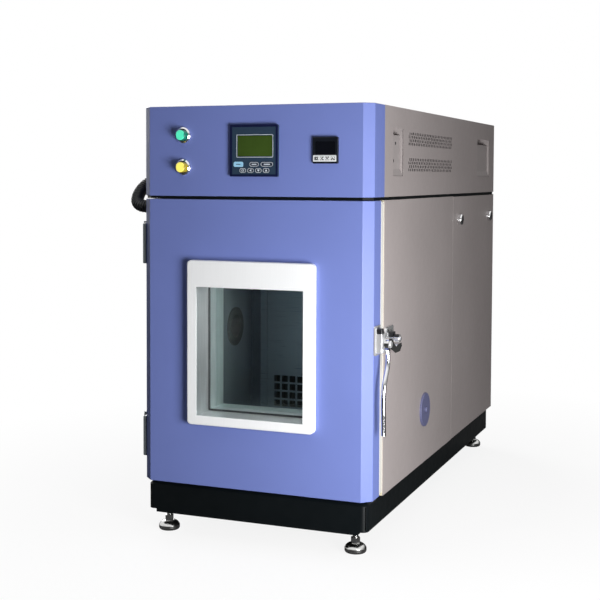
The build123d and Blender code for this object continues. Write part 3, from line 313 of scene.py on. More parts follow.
def clear_pane(name):
    """Window glass that lets the lamps' light through to the chamber."""
    material, tree, shader, place = finish(name)
    dark, light = (0.90, 0.95, 0.94), (0.96, 0.99, 0.98)
    tree.links.new(tones(tree, grain(tree, place, 4.0), dark, light), shader.inputs["Base Color"])
    relief(tree, shader, grain(tree, place, 6.0, 1.0), 0.00002, 0.3)
    shader.inputs["Roughness"].default_value = 0.0
    shader.inputs["IOR"].default_value = 1.17
    shader.inputs["Transmission Weight"].default_value = 1.0
    through = tree.nodes.new("ShaderNodeBsdfTransparent")
    through.inputs["Color"].default_value = (0.90, 0.95, 0.94, 1)
    rays = tree.nodes.new("ShaderNodeLightPath")
    choice = tree.nodes.new("ShaderNodeMixShader")
    tree.links.new(rays.outputs["Is Shadow Ray"], choice.inputs["Fac"])
    tree.links.new(shader.outputs["BSDF"], choice.inputs[1])
    tree.links.new(through.outputs["BSDF"], choice.inputs[2])
    tree.links.new(choice.outputs["Shader"], tree.nodes["Material Output"].inputs["Surface"])
    return material


BLUE = powder_coat("blue_powder_coat", (0.172, 0.222, 0.545), 0.40, 0.03, coat=0.12)
GREY = powder_coat("grey_powder_coat", (0.375, 0.335, 0.330), 0.46, 0.04, peel=700, depth=0.00010)
PORT_BLUE = powder_coat("cover_blue_paint", (0.13, 0.135, 0.25), 0.40)
BLACK = powder_coat(
    "black_powder_coat", (0.0030, 0.0046, 0.0055), 0.36, 0.15, peel=600, depth=0.00006, specular=0.25
)
WHITE = powder_coat("white_enamel", (0.66, 0.65, 0.62), 0.40, 0.02)
HINGE = powder_coat("hinge_grey_paint", (0.215, 0.240, 0.255), 0.34, 0.08)
CUP = powder_coat("grip_grey_paint", (0.36, 0.325, 0.32), 0.50, 0.06)
WINDOW = framed_metal(
    "window_anodised_aluminium", (0.96, 0.97, 0.98), (0.74, 0.77, 0.78),
    at(-110.5, -13.8, 193.5), at(108.5, 130, 441.5),
)
# The chamber's steel has a dark purple-grey: painted shade for the dim chamber seen through the window,
# darker than the bare steel.
LINER_PAINTED_SHADE = brushed("chamber_stainless_painted_shade", (0.150, 0.155, 0.195), 0.34, "y", 0.04, 0.6)
BAFFLE = brushed("baffle_stainless", (0.33, 0.36, 0.44), 0.32, "x", 0.04, 0.6)
# The port's steel is near-black: painted shade for the dark bore and chamber around it, not a colour of the
# steel.
PORT_PAINTED_SHADE = brushed("port_steel_painted_shade", (0.012, 0.008, 0.012), 0.55, "z", 0.20, 0.0)
CORE = brushed("door_pan_stainless", (0.46, 0.52, 0.50), 0.34, "x", 0.06)
ZINC = brushed("zinc_plate", (0.50, 0.50, 0.49), 0.38, "z", 0.12)
FAN = brushed("fan_stainless", (0.55, 0.56, 0.58), 0.34, "x", 0.10)
FINS = brushed("fin_aluminium", (0.66, 0.67, 0.69), 0.40, "z", 0.15)
COATED_FINS = brushed("coated_fins", (0.022, 0.025, 0.032), 0.46, "z", 0.20, 0.3)
CHROME = plated("polished_chrome", (0.80, 0.80, 0.81), 0.06)
STEEL = plated("foot_bright_steel", (0.62, 0.62, 0.61), 0.16, 0.12)
COPPER = plated("copper_tube", (0.72, 0.36, 0.22), 0.24, 0.15)
RUBBER = moulded("black_rubber", (0.012, 0.013, 0.015), 0.36, 900, 0.00002)
SILICONE = moulded("white_silicone", (0.66, 0.65, 0.62), 0.50, 500, 0.00010, 0.04)
LATCH_BASE = plated_and_black("latch_base_chrome_and_nylon", 0.6, at(236.4, 0, 364), at(247.2, 90, 400))
KEEPER = plated_and_black("keeper_chrome_and_nylon", 0.8, at(236.4, 80, 350), at(256.6, 125, 400))
GLAND = moulded("gland_black_nylon", (0.015, 0.016, 0.018), 0.40)
CASE = moulded("instrument_black_case", (0.0045, 0.0060, 0.0100), 0.36, 2600, 0.00001, 0.10, 0.3)
FACE = moulded("controller_slate_face", (0.026, 0.048, 0.082), 0.38, 2600, 0.00001, 0.04, 0.3)
NAVY = moulded("controller_navy_edge", (0.0045, 0.0075, 0.0400), 0.36, 2600, 0.00001, 0.06, 0.3)
KEY = moulded("dark_keys", (0.022, 0.030, 0.050), 0.40, 2600, 0.00001, 0.06, 0.3)
KEY_BLUE = moulded("light_blue_key", (0.36, 0.68, 0.92), 0.36, 2600, 0.00001)
PRINT = moulded("pale_print", (0.62, 0.68, 0.74), 0.45)
PRINT_WHITE = moulded("white_print", (0.74, 0.76, 0.77), 0.45)
PRINT_BLACK = moulded("black_print", (0.012, 0.013, 0.015), 0.45)
SCREEN = moulded("olive_screen", (0.046, 0.085, 0.014), 0.18, 2600, 0.00001, 0.12)
SMOKED = moulded("smoked_screen", (0.0030, 0.0036, 0.0060), 0.12, 2600, 0.00001, 0.2)
GREEN = lit_lens(
    "green_button_lens", (0.010, 0.24, 0.16), (0.09, 0.80, 0.50), at(-150, -20, 700), at(-134, -16.2, 760)
)
YELLOW = lit_lens(
    "yellow_button_lens", (0.50, 0.38, 0.02), (0.98, 0.86, 0.16), at(-150, -20, 640), at(-134, -16.2, 700)
)
BLOWER = moulded("fan_black_plastic", (0.018, 0.018, 0.020), 0.45)
MOTOR = cast("motor_grey_casting", (0.030, 0.032, 0.036), 0.45)
FOAM = cast("rigid_foam", (0.62, 0.56, 0.40), 0.85, 0.0006)
GLASS = clear_pane("window_glass_pane")

DRESS = {
    BLUE: ["door_skin", "head_fascia"],
    GREY: ["side_panels", "rear_panels", "head_sides", "head_top", "service_panel"],
    CUP: ["grip_cups"],
    BLACK: ["plinth", "head_tray", "machine_frame"],
    FOAM: ["chamber_insulation"],
    LINER_PAINTED_SHADE: ["inner_liner"],
    PORT_PAINTED_SHADE: ["cable_port"],
    BAFFLE: ["air_baffle", "air_heater"],
    CORE: ["door_inner_pan"],
    WHITE: ["front_frame"],
    WINDOW: ["window_frame"],
    GLASS: ["window_glass"],
    SILICONE: ["door_gasket"],
    HINGE: ["hinge_leaves_door", "hinge_leaves_cabinet"],
    CHROME: ["latch_lever", "button_bezels", "cam_lock_front", "cam_lock_rear"],
    LATCH_BASE: ["latch_base"],
    KEEPER: ["latch_keeper"],
    PORT_BLUE: ["port_cover"],
    GLAND: ["conduit_gland_head", "conduit_gland_door"],
    RUBBER: ["control_conduit"],
    FACE: ["controller_case"],
    CASE: ["limiter_case"],
    KEY_BLUE: ["controller_key_run"],
    GREEN: ["green_button"],
    YELLOW: ["yellow_button"],
    STEEL: ["foot_front_left", "foot_front_right", "foot_rear_left", "foot_rear_right"],
    ZINC: ["control_chassis"],
    MOTOR: ["fan_motor", "compressor"],
    FINS: ["condenser"],
    COATED_FINS: ["evaporator"],
    COPPER: ["refrigerant_pipes"],
    FAN: ["circulation_fan"],
    BLOWER: ["condenser_fan"],
    KEY: [f"controller_key_{sign}" for sign in ("menu", "page", "back", "left", "down", "up")],
    PRINT_WHITE: [f"limiter_key_{sign}" for sign in ("set", "left", "down", "up")],
}
for material, names in DRESS.items():
    for name in names:
        nodes[name].data.materials.clear()
        nodes[name].data.materials.append(material)


# ---------- making pieces ----------
def piece(name, mesh, body, material):
    """A finished piece at the origin, which rides on a body."""
    mesh.materials.clear()
    mesh.materials.append(material)
    thing = bpy.data.objects.new(name, mesh)
    bpy.context.scene.collection.objects.link(thing)
    if body:
        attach(thing, body)
    return thing


def mesh_of(name, points, faces, smooth=False):
    """A mesh from points and faces, with its normals outwards."""
    mesh = bpy.data.meshes.new(name)
    mesh.from_pydata([tuple(point) for point in points], [], faces)
    work = bmesh.new()
    work.from_mesh(mesh)
    bmesh.ops.remove_doubles(work, verts=work.verts, dist=0.000002)
    bmesh.ops.recalc_face_normals(work, faces=work.faces)
    work.to_mesh(mesh)
    work.free()
    for face in mesh.polygons:
        face.use_smooth = smooth
    return mesh


def round_corner(width, height, radius, steps=5):
    """Outline of a rounded rectangle about its centre."""
    points = []
    for across, rise, start in ((1, 1, 0), (-1, 1, 90), (-1, -1, 180), (1, -1, 270)):
        for step in range(steps + 1):
            angle = math.radians(start + 90 * step / steps)
            points.append((
                across * (width / 2 - radius) + radius * math.cos(angle),
                rise * (height / 2 - radius) + radius * math.sin(angle),
            ))
    return points


def front_plate(outline, centre, y, thickness):
    """Points and faces of a plate that faces the front, in the drawing's millimetres."""
    count = len(outline)
    points = [at(centre[0] + x, y, centre[1] + z) for x, z in outline]
    points += [at(centre[0] + x, y + thickness, centre[1] + z) for x, z in outline]
    faces = [list(range(count)), list(range(2 * count - 1, count - 1, -1))]
    faces += [[i, (i + 1) % count, count + (i + 1) % count, count + i] for i in range(count)]
    return points, faces


def front_ring(width, height, radius, line, centre, y, thickness):
    """Points and faces of a printed outline: a thin ring that faces the front."""
    outer = round_corner(width, height, radius)
    inner = round_corner(width - 2 * line, height - 2 * line, max(radius - line, 0.2))
    count = len(outer)
    points = []
    for level in (y, y + thickness):
        for ring in (outer, inner):
            points += [at(centre[0] + x, level, centre[1] + z) for x, z in ring]
    faces = []
    for i in range(count):
        n = (i + 1) % count
        faces.append([i, n, count + n, count + i])
        faces.append([2 * count + i, 3 * count + i, 3 * count + n, 2 * count + n])
        faces.append([i, 2 * count + i, 2 * count + n, n])
        faces.append([count + i, count + n, 3 * count + n, 3 * count + i])
    return points, faces


def gather(parts):
    """Several lists of points and faces as one."""
    points, faces = [], []
    for more_points, more_faces in parts:
        base = len(points)
        points += more_points
        faces += [[base + i for i in face] for face in more_faces]
    return points, faces


def lathe(profile, turns=32):
    """Points and faces of a turned piece about Z, closed at both ends; radii and heights in millimetres."""
    points, faces, rings = [], [], []
    for radius, height in profile:
        if radius < 0.001:
            rings.append([len(points)])
            points.append(Vector((0, 0, height / 1000)))
            continue
        rings.append(list(range(len(points), len(points) + turns)))
        for step in range(turns):
            angle = 2 * math.pi * step / turns
            points.append(Vector((radius * math.cos(angle), radius * math.sin(angle), height)) / 1000)
    for lower, upper in zip(rings[:-1], rings[1:]):
        for step in range(turns):
            corners = [lower[step % len(lower)], lower[(step + 1) % len(lower)]]
            corners += [upper[(step + 1) % len(upper)], upper[step % len(upper)]]
            unique = list(dict.fromkeys(corners))
            if len(unique) > 2:
                faces.append(unique)
    return points, faces


# ---------- geometry nodes ----------
class Tree:
    """A geometry tree with named inputs, built node by node."""

    def __init__(self, name, inputs):
        self.group = bpy.data.node_groups.new(name, "GeometryNodeTree")
        self.names = {}
        for label, kind, value in inputs:
            socket = self.group.interface.new_socket(label, in_out="INPUT", socket_type=f"NodeSocket{kind}")
            self.names[label] = socket.identifier
            if value is not None:
                socket.default_value = value
        self.group.interface.new_socket("Geometry", in_out="OUTPUT", socket_type="NodeSocketGeometry")
        self.source = self.group.nodes.new("NodeGroupInput")
        self.target = self.group.nodes.new("NodeGroupOutput")

    def value(self, label):
        """The socket of a named input."""
        return self.source.outputs[label]

    def node(self, kind, inputs=None, **settings):
        """A node with its settings and its inputs, which are sockets or plain values."""
        made = self.group.nodes.new(kind)
        for label, setting in settings.items():
            setattr(made, label, setting)
        for label, given in (inputs or {}).items():
            if isinstance(given, bpy.types.NodeSocket):
                self.group.links.new(given, made.inputs[label])
            else:
                made.inputs[label].default_value = given
        return made

    def math(self, operation, first, second=0.0):
        """One sum of two values."""
        return self.node("ShaderNodeMath", {0: first, 1: second}, operation=operation).outputs[0]

    def vector(self, x=0.0, y=0.0, z=0.0):
        """A vector from three values."""
        return self.node("ShaderNodeCombineXYZ", {"X": x, "Y": y, "Z": z}).outputs[0]

    def product(self, first, second):
        """Two values multiplied."""
        return self.math("MULTIPLY", first, second)

    def total(self, first, second):
        """Two values added."""
        return self.math("ADD", first, second)

    def rectangle(self, width, height):
        """The outline of a rectangle about the origin."""
        sizes = {"Width": width, "Height": height}
        return self.node("GeometryNodeCurvePrimitiveQuadrilateral", sizes).outputs[0]

    def circle(self, radius, resolution):
        """The outline of a circle about the origin."""
        sizes = {"Resolution": resolution, "Radius": radius}
        return self.node("GeometryNodeCurvePrimitiveCircle", sizes, mode="RADIUS").outputs[0]

    def moved(self, geometry, across, rise):
        """A geometry moved in its own plane."""
        place = {"Geometry": geometry, "Translation": self.vector(across, rise)}
        return self.node("GeometryNodeTransform", place).outputs[0]

    def join(self, *parts):
        """Several geometries as one."""
        joined = self.group.nodes.new("GeometryNodeJoinGeometry")
        for part in reversed(parts):
            self.group.links.new(part, joined.inputs[0])
        return joined.outputs[0]

    def close(self, geometry):
        """Real meshes with the material on them, to the output."""
        real = self.node("GeometryNodeRealizeInstances", {"Geometry": geometry}).outputs[0]
        dressed = self.node(
            "GeometryNodeSetMaterial", {"Geometry": real, "Material": self.value("Material")}
        ).outputs[0]
        self.group.links.new(dressed, self.target.inputs[0])


def grown(tree, name, sizes, material, seed=None):
    """Runs a tree and returns its result as a plain mesh."""
    holder = seed
    if holder is None:
        holder = bpy.data.objects.new(name + "_holder", bpy.data.meshes.new(name + "_holder"))
        bpy.context.scene.collection.objects.link(holder)
    modifier = holder.modifiers.new(name, "NODES")
    modifier.node_group = tree.group
    modifier[tree.names["Material"]] = material
    for label, given in sizes.items():
        modifier[tree.names[label]] = given
    bpy.context.view_layer.update()
    evaluated = holder.evaluated_get(bpy.context.evaluated_depsgraph_get())
    mesh = bpy.data.meshes.new_from_object(evaluated)
    mesh.name = name
    holder.modifiers.remove(modifier)
    bpy.data.objects.remove(holder)
    return mesh


# ---------- perforated sides of the head ----------
SHEET_THICKNESS = 0.0004
ROWS_IN_BAND = 4
VENT_START = 240.0
FRONT_GRIP = (131.0, 198.0)
REAR_GRIP = (843.0, 981.0)


def perforated_sheet_tree():
    """A flat sheet with hand openings and two bands of staggered slots."""
    tree = Tree("perforated_sheet", [
        ("Length", "Float", 0.9555), ("Height", "Float", 0.1685), ("Thickness", "Float", SHEET_THICKNESS),
        ("Slot Width", "Float", 0.0076), ("Slot Height", "Float", 0.0058), ("Slot Pitch", "Float", 0.013),
        ("Row Pitch", "Float", 0.0068), ("Columns", "Int", 27), ("Vent Start", "Float", 0.16),
        ("Upper Band", "Float", 0.1125), ("Lower Band", "Float", 0.0615),
        ("Front Opening", "Float", 0.05), ("Front Opening Length", "Float", 0.067),
        ("Rear Opening", "Float", 0.75), ("Rear Opening Length", "Float", 0.138),
        ("Opening Bottom", "Float", 0.039), ("Opening Height", "Float", 0.091),
        ("Material", "Material", None),
    ])
    length = tree.value("Length")
    height = tree.value("Height")
    edge = tree.rectangle(length, height)
    loops = [tree.moved(edge, tree.product(length, 0.5), tree.product(height, 0.5))]
    rise = tree.total(tree.value("Opening Bottom"), tree.product(tree.value("Opening Height"), 0.5))
    for label in ("Front Opening", "Rear Opening"):
        width = tree.value(label + " Length")
        across = tree.total(tree.value(label), tree.product(width, 0.5))
        loops.append(tree.moved(tree.rectangle(width, tree.value("Opening Height")), across, rise))
    slot = tree.rectangle(tree.value("Slot Width"), tree.value("Slot Height"))
    corner = tree.product(tree.value("Slot Height"), 0.35)
    slot = tree.node(
        "GeometryNodeFilletCurve", {"Curve": slot, "Radius": corner, "Count": 2}, mode="POLY"
    ).outputs[0]
    pitch = tree.value("Slot Pitch")
    places = []
    for band in ("Upper Band", "Lower Band"):
        for row in range(ROWS_IN_BAND):
            lift = tree.product(tree.value("Row Pitch"), row - (ROWS_IN_BAND - 1) / 2)
            shift = tree.product(pitch, 0.5 * (row % 2))
            start = tree.vector(
                tree.total(tree.value("Vent Start"), shift), tree.total(tree.value(band), lift)
            )
            line = {"Count": tree.value("Columns"), "Start Location": start, "Offset": tree.vector(pitch)}
            places.append(tree.node("GeometryNodeMeshLine", line, mode="OFFSET").outputs[0])
    slots = tree.node(
        "GeometryNodeInstanceOnPoints", {"Points": tree.join(*places), "Instance": slot}
    ).outputs[0]
    slots = tree.node("GeometryNodeRealizeInstances", {"Geometry": slots}).outputs[0]
    flat = tree.node("GeometryNodeFillCurve", {"Curve": tree.join(*loops, slots)}).outputs[0]
    lifted = {
        "Mesh": flat, "Offset": tree.vector(0.0, 0.0, 1.0), "Offset Scale": tree.value("Thickness"),
        "Individual": False,
    }
    raised = tree.node("GeometryNodeExtrudeMesh", lifted).outputs[0]
    under = tree.node("GeometryNodeFlipFaces", {"Mesh": flat}).outputs[0]
    closed = {"Geometry": tree.join(raised, under), "Distance": 0.000005}
    tree.close(tree.node("GeometryNodeMergeByDistance", closed).outputs[0])
    return tree


HEAD_SIDE_FRONT = 76.5
HEAD_SIDE_REAR = 1033.5
sheet_tree = perforated_sheet_tree()
for name, side in (("head_side_right", 1), ("head_side_left", -1)):
    mesh = grown(sheet_tree, name, {
        "Length": (HEAD_SIDE_REAR - HEAD_SIDE_FRONT) / 1000,
        "Vent Start": (VENT_START - HEAD_SIDE_FRONT) / 1000,
        "Front Opening": (FRONT_GRIP[0] - HEAD_SIDE_FRONT) / 1000,
        "Rear Opening": (REAR_GRIP[0] - HEAD_SIDE_FRONT) / 1000,
    }, GREY)
    corner = at(side * SIDE, HEAD_SIDE_FRONT, HEAD_BOTTOM)
    place = Matrix((
        (0, 0, side, corner.x - side * SHEET_THICKNESS),
        (1, 0, 0, corner.y),
        (0, 1, 0, corner.z),
        (0, 0, 0, 1),
    ))
    mesh.transform(place)
    if side < 0:
        mesh.flip_normals()
    piece(name, mesh, "cabinet", GREY)
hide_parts("head_sides")


# ---------- black sheets behind the vents as painted shade, folded plates in the grips ---
def drawn_out(profile, start, stop):
    """Points and side walls of a profile in X and Z, drawn out along Y."""
    count = len(profile)
    points = [at(x, y, z) for y in (start, stop) for x, z in profile]
    walls = [[i, (i + 1) % count, count + (i + 1) % count, count + i] for i in range(count)]
    return points, walls


# The black sheets just behind the slots are painted shade: they darken the vents where the head's inside lies
# in shade.
SHADE_SHEET_GAP = 3.2
SHADE_SHEET_THICKNESS = 0.6
SHADE_SHEET_HEIGHTS = (656.0, 744.0)
SHADE_SHEET_ENDS = (228.0, 600.0)
for name, side in (("vent_screen_right", 1), ("vent_screen_left", -1)):
    outer = side * (SIDE - SHADE_SHEET_GAP)
    inner = side * (SIDE - SHADE_SHEET_GAP - SHADE_SHEET_THICKNESS)
    low, high = SHADE_SHEET_HEIGHTS
    points, walls = drawn_out([(outer, low), (outer, high), (inner, high), (inner, low)], *SHADE_SHEET_ENDS)
    mesh = mesh_of(name, points, [[0, 1, 2, 3], [7, 6, 5, 4]] + walls)
    piece(name, mesh, "cabinet", BLOWER)

PLATE_FACE = 226.0
PLATE_SHEET = 0.8
FOLD_DEPTH = 15.0
PLATE_BOTTOM = 651.5
FOLD_TOP = 728.0
GRIP_PLAY = (1.6, 1.4)
plate_profile = [
    (PLATE_FACE - PLATE_SHEET, PLATE_BOTTOM), (PLATE_FACE, PLATE_BOTTOM), (PLATE_FACE, FOLD_TOP),
    (PLATE_FACE - FOLD_DEPTH, FOLD_TOP), (PLATE_FACE - FOLD_DEPTH, FOLD_TOP - PLATE_SHEET),
    (PLATE_FACE - PLATE_SHEET, FOLD_TOP - PLATE_SHEET),
]
PLATE_ENDS = [[0, 1, 2, 5], [2, 3, 4, 5], [11, 8, 7, 6], [11, 10, 9, 8]]
for end, (front, rear) in (("front", FRONT_GRIP), ("rear", REAR_GRIP)):
    for name, side in (("right", 1), ("left", -1)):
        profile = [(side * x, z) for x, z in plate_profile]
        points, walls = drawn_out(profile, front + GRIP_PLAY[0], rear - GRIP_PLAY[1])
        label = f"grip_plate_{end}_{name}"
        piece(label, mesh_of(label, points, PLATE_ENDS + walls), "cabinet", CUP)


# ---------- ribbed conduit ----------
def ribbed_hose_tree():
    """A corrugated hose swept along a curve."""
    tree = Tree("ribbed_hose", [
        ("Geometry", "Geometry", None),
        ("Radius", "Float", 0.0125), ("Rib Depth", "Float", 0.0022), ("Rib Pitch", "Float", 0.0052),
        ("Material", "Material", None),
    ])
    line = tree.node(
        "GeometryNodeResampleCurve", {"Curve": tree.value("Geometry"), "Length": 0.00065}, mode="LENGTH"
    ).outputs[0]
    along = tree.node("GeometryNodeSplineParameter").outputs["Length"]
    turns = tree.product(tree.math("DIVIDE", along, tree.value("Rib Pitch")), 2 * math.pi)
    wave = tree.total(tree.product(tree.math("COSINE", turns), 0.5), 0.5)
    crest = tree.math("POWER", wave, 0.6)
    dip = tree.product(tree.value("Rib Depth"), tree.math("SUBTRACT", 1.0, crest))
    radius = tree.math("SUBTRACT", tree.value("Radius"), dip)
    line = tree.node("GeometryNodeSetCurveRadius", {"Curve": line, "Radius": radius}).outputs[0]
    ring = tree.circle(1.0, 36)
    swept = {"Curve": line, "Profile Curve": ring, "Scale": radius, "Fill Caps": True}
    sweep = tree.node("GeometryNodeCurveToMesh", swept).outputs[0]
    smooth = tree.node("GeometryNodeSetShadeSmooth", {"Geometry": sweep}).outputs[0]
    tree.close(smooth)
    return tree


GLAND_X = -SIDE - 5.0
HEAD_GLAND = (106.0, 642.0)
DOOR_GLAND = (41.0, 589.0)
# How far the conduit stands out, and its share of the way from the head's gland to the door's.
BOW = [
    (0.0, 0.0), (15.0, 0.0), (28.2, 0.084), (36.6, 0.232), (40.6, 0.5),
    (36.6, 0.768), (28.2, 0.916), (15.0, 1.0), (0.0, 1.0),
]
hose_points = [
    at(
        GLAND_X - bow,
        HEAD_GLAND[0] + share * (DOOR_GLAND[0] - HEAD_GLAND[0]),
        HEAD_GLAND[1] + share * (DOOR_GLAND[1] - HEAD_GLAND[1]),
    )
    for bow, share in BOW
]
hose_line = bpy.data.curves.new("hose_line", "CURVE")
hose_line.dimensions = "3D"
hose_line.resolution_u = 24
spline = hose_line.splines.new("NURBS")
spline.points.add(len(hose_points) - 1)
for point, place in zip(spline.points, hose_points):
    point.co = (*place, 1)
spline.order_u = 3
spline.use_endpoint_u = True
hose_seed = bpy.data.objects.new("hose_line", hose_line)
bpy.context.scene.collection.objects.link(hose_seed)
hose_mesh = grown(ribbed_hose_tree(), "control_conduit_ribbed", {}, RUBBER, hose_seed)
hose = piece("control_conduit_ribbed", hose_mesh, None, RUBBER)
MID_BOW = GLAND_X - 20
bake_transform(hose, "cabinet", "door", start=at(MID_BOW, *HEAD_GLAND), end=at(MID_BOW, *DOOR_GLAND))
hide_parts("control_conduit")


# ---------- screws ----------
SCREW_SIDES = 24


def socket_screw(name, radius, height):
    """A button-head screw with a six-sided socket, drawn along Z from its seat."""
    profile = [
        (0, 0), (radius, 0), (radius, height * 0.35), (radius * 0.86, height * 0.78),
        (radius * 0.55, height), (radius * 0.46, height),
    ]
    points, faces = lathe(profile, SCREW_SIDES)
    base = len(points) - SCREW_SIDES
    floor = len(points)
    pit = floor + SCREW_SIDES
    for step in range(SCREW_SIDES):
        angle = 2 * math.pi * step / SCREW_SIDES
        flat = math.cos(math.pi / 6) / math.cos((angle % (math.pi / 3)) - math.pi / 6)
        reach = radius * 0.44 * flat / 1000
        points.append(Vector((reach * math.cos(angle), reach * math.sin(angle), height * 0.98 / 1000)))
    drop = Vector((0, 0, height * 0.55 / 1000))
    points += [point - drop for point in points[floor:]]
    for step in range(SCREW_SIDES):
        n = (step + 1) % SCREW_SIDES
        faces.append([base + step, base + n, floor + n, floor + step])
        faces.append([floor + step, floor + n, pit + n, pit + step])
    faces.append([pit + step for step in range(SCREW_SIDES)])
    thing = bpy.data.objects.new(name, mesh_of(name, points, faces))
    bpy.context.scene.collection.objects.link(thing)
    thing.hide_render = True
    return thing


def screw_tree():
    """One screw on each point, turned to the point's own direction."""
    tree = Tree("screws_on_points", [
        ("Geometry", "Geometry", None), ("Screw", "Object", None), ("Turn", "Float", 0.4),
        ("Material", "Material", None),
    ])
    facing = tree.node(
        "GeometryNodeInputNamedAttribute", {"Name": "facing"}, data_type="FLOAT_VECTOR"
    ).outputs[0]
    aimed = tree.node("FunctionNodeAlignRotationToVector", {"Vector": facing}, axis="Z").outputs[0]
    spin = tree.node("FunctionNodeAxisAngleToRotation", {"Angle": tree.value("Turn")}).outputs[0]
    rotation = tree.node("FunctionNodeRotateRotation", {0: aimed, 1: spin}, rotation_space="LOCAL").outputs[0]
    shape = tree.node("GeometryNodeObjectInfo", {"Object": tree.value("Screw")}).outputs["Geometry"]
    set_out = {"Points": tree.value("Geometry"), "Instance": shape, "Rotation": rotation}
    tree.close(tree.node("GeometryNodeInstanceOnPoints", set_out).outputs[0])
    return tree


screws_on_points = screw_tree()


def screws(name, places, direction, screw, body, material):
    """Screws at places of the drawing, all facing one way, as one piece."""
    mesh = bpy.data.meshes.new(name + "_points")
    mesh.from_pydata([tuple(at(*place)) for place in places], [], [])
    facing = mesh.attributes.new("facing", "FLOAT_VECTOR", "POINT")
    for entry in facing.data:
        entry.vector = direction
    seed = bpy.data.objects.new(name + "_points", mesh)
    bpy.context.scene.collection.objects.link(seed)
    made = grown(screws_on_points, name, {"Screw": screw}, material, seed)
    for attribute in list(made.attributes):
        if attribute.name == "facing":
            made.attributes.remove(attribute)
    return piece(name, made, body, material)


HINGE_SCREW = socket_screw("button_screw", 4.2, 2.6)
PANEL_SCREW = socket_screw("panel_screw", 3.4, 2.0)
LOWER_HINGE = 100.5
UPPER_HINGE = 478.5
LEAF_RISES = (14.0, 39.25, 64.5)
LEAF_FACE = -238
DOOR_LEAF = 25
CABINET_LEAF = 95
leaf_heights = [base + rise for base in (LOWER_HINGE, UPPER_HINGE) for rise in LEAF_RISES]
door_places = [(LEAF_FACE, DOOR_LEAF, z) for z in leaf_heights]
screws("hinge_screws_door", door_places, (-1, 0, 0), HINGE_SCREW, "door", STEEL)
cabinet_places = [(LEAF_FACE, CABINET_LEAF, z) for z in leaf_heights]
screws("hinge_screws_cabinet", cabinet_places, (-1, 0, 0), HINGE_SCREW, "cabinet", STEEL)
REAR_EDGE = 222
REAR_MIDDLE = 75
SHEET_ENDS = (592, 622, 770)
EDGE_ROW = (66, 200, 330, 460, *SHEET_ENDS)
rear_places = [(x, CABINET_DEPTH, z) for x in (-REAR_EDGE, REAR_EDGE) for z in EDGE_ROW]
rear_places += [(x, CABINET_DEPTH, z) for x in (-REAR_MIDDLE, REAR_MIDDLE) for z in SHEET_ENDS]
screws("rear_panel_screws", rear_places, (0, 1, 0), PANEL_SCREW, "cabinet", STEEL)
TOP_EDGE = 220
top_places = [(x, y, HEAD_TOP) for x in (-TOP_EDGE, TOP_EDGE) for y in (100, 320, 550, 780, 1010)]
screws("head_top_screws", top_places, (0, 0, 1), PANEL_SCREW, "cabinet", STEEL)
MARK_SEAT = PLATE_FACE - 1.0
for name, side in (("grip_screws_right", 1), ("grip_screws_left", -1)):
    marks = [(side * MARK_SEAT, 165.0, 712.5), (side * MARK_SEAT, 151.0, 679.0)]
    screws(name, marks, (side, 0, 0), PANEL_SCREW, "cabinet", BLOWER)


# ---------- threads of the feet ----------
def thread_tree():
    """A screw thread: a small ridge wound up a stem."""
    tree = Tree("foot_thread", [
        ("Radius", "Float", 0.0051), ("Pitch", "Float", 0.0015), ("Length", "Float", 0.02),
        ("Ridge", "Float", 0.00055), ("Material", "Material", None),
    ])
    radius = tree.value("Radius")
    length = tree.value("Length")
    coil = tree.node("GeometryNodeCurveSpiral", {
        "Resolution": 20, "Rotations": tree.math("DIVIDE", length, tree.value("Pitch")),
        "Start Radius": radius, "End Radius": radius, "Height": length,
    }).outputs[0]
    ridge = tree.circle(tree.value("Ridge"), 4)
    wound = {"Curve": coil, "Profile Curve": ridge, "Fill Caps": True}
    tree.close(tree.node("GeometryNodeCurveToMesh", wound).outputs[0])
    return tree


foot_thread = thread_tree()
FOOT_ACROSS = {"left": -193.0, "right": 193.0}
FOOT_ALONG = {"front": 38.0, "rear": 997.0}
THREAD_START = -17.5
THREAD_LENGTH = 0.0165
for end, y in FOOT_ALONG.items():
    for side, x in FOOT_ACROSS.items():
        name = f"foot_{end}_{side}"
        mesh = grown(foot_thread, name + "_thread", {"Length": THREAD_LENGTH}, STEEL)
        mesh.transform(Matrix.Translation(at(x, y, THREAD_START)))
        piece(name + "_thread", mesh, name, STEEL)


# ---------- controller and limiter faces ----------
CONTROLLER = (-43.0, 744.0)
LIMITER = (121.0, 720.0)
FACE_Y = -6.0
INK = 0.18


def on_face(corner, across, down):
    """A place on an instrument's face, from its upper left corner."""
    return corner[0] + across, corner[1] - down


def turned(outline, direction, reach):
    """An outline drawn pointing up, enlarged and turned to point another way."""
    angle = math.radians({"up": 0, "left": 90, "down": 180, "right": 270}[direction])
    across, rise = math.cos(angle), math.sin(angle)
    return [(reach * (x * across - z * rise), reach * (x * rise + z * across)) for x, z in outline]


def arrow(direction, reach):
    """Outline of a small triangle that points one way."""
    return turned([(-0.8, -0.55), (0.8, -0.55), (0.0, 0.75)], direction, reach)


def chevron(direction, reach, line):
    """Outline of an open arrowhead that points one way."""
    upper = [(1.0, -0.55), (0.0, 0.60), (-1.0, -0.55)]
    lower = [(x, z - line) for x, z in reversed(upper)]
    return turned(lower + upper, direction, reach)


def made_piece(name, parts, body, material):
    """Gathered plates as one riding piece."""
    return piece(name, mesh_of(name, *gather(parts)), body, material)


controller_centre = on_face(CONTROLLER, 48.0, 48.0)
made_piece(
    "controller_edge", [front_ring(96.0, 96.0, 1.5, 4.2, controller_centre, FACE_Y - 0.3, 0.3)],
    "cabinet", NAVY,
)
screen_centre = on_face(CONTROLLER, 49.9, 39.4)
made_piece(
    "controller_screen", [front_plate(round_corner(70.0, 38.0, 1.0, 2), screen_centre, FACE_Y + 0.9, 0.6)],
    "cabinet", SCREEN,
)
made_piece(
    "controller_outline",
    [front_ring(73.4, 42.4, 2.0, 1.0, screen_centre, FACE_Y - INK, INK)],
    "cabinet", PRINT,
)
KEY_FACE = FACE_Y - 0.8
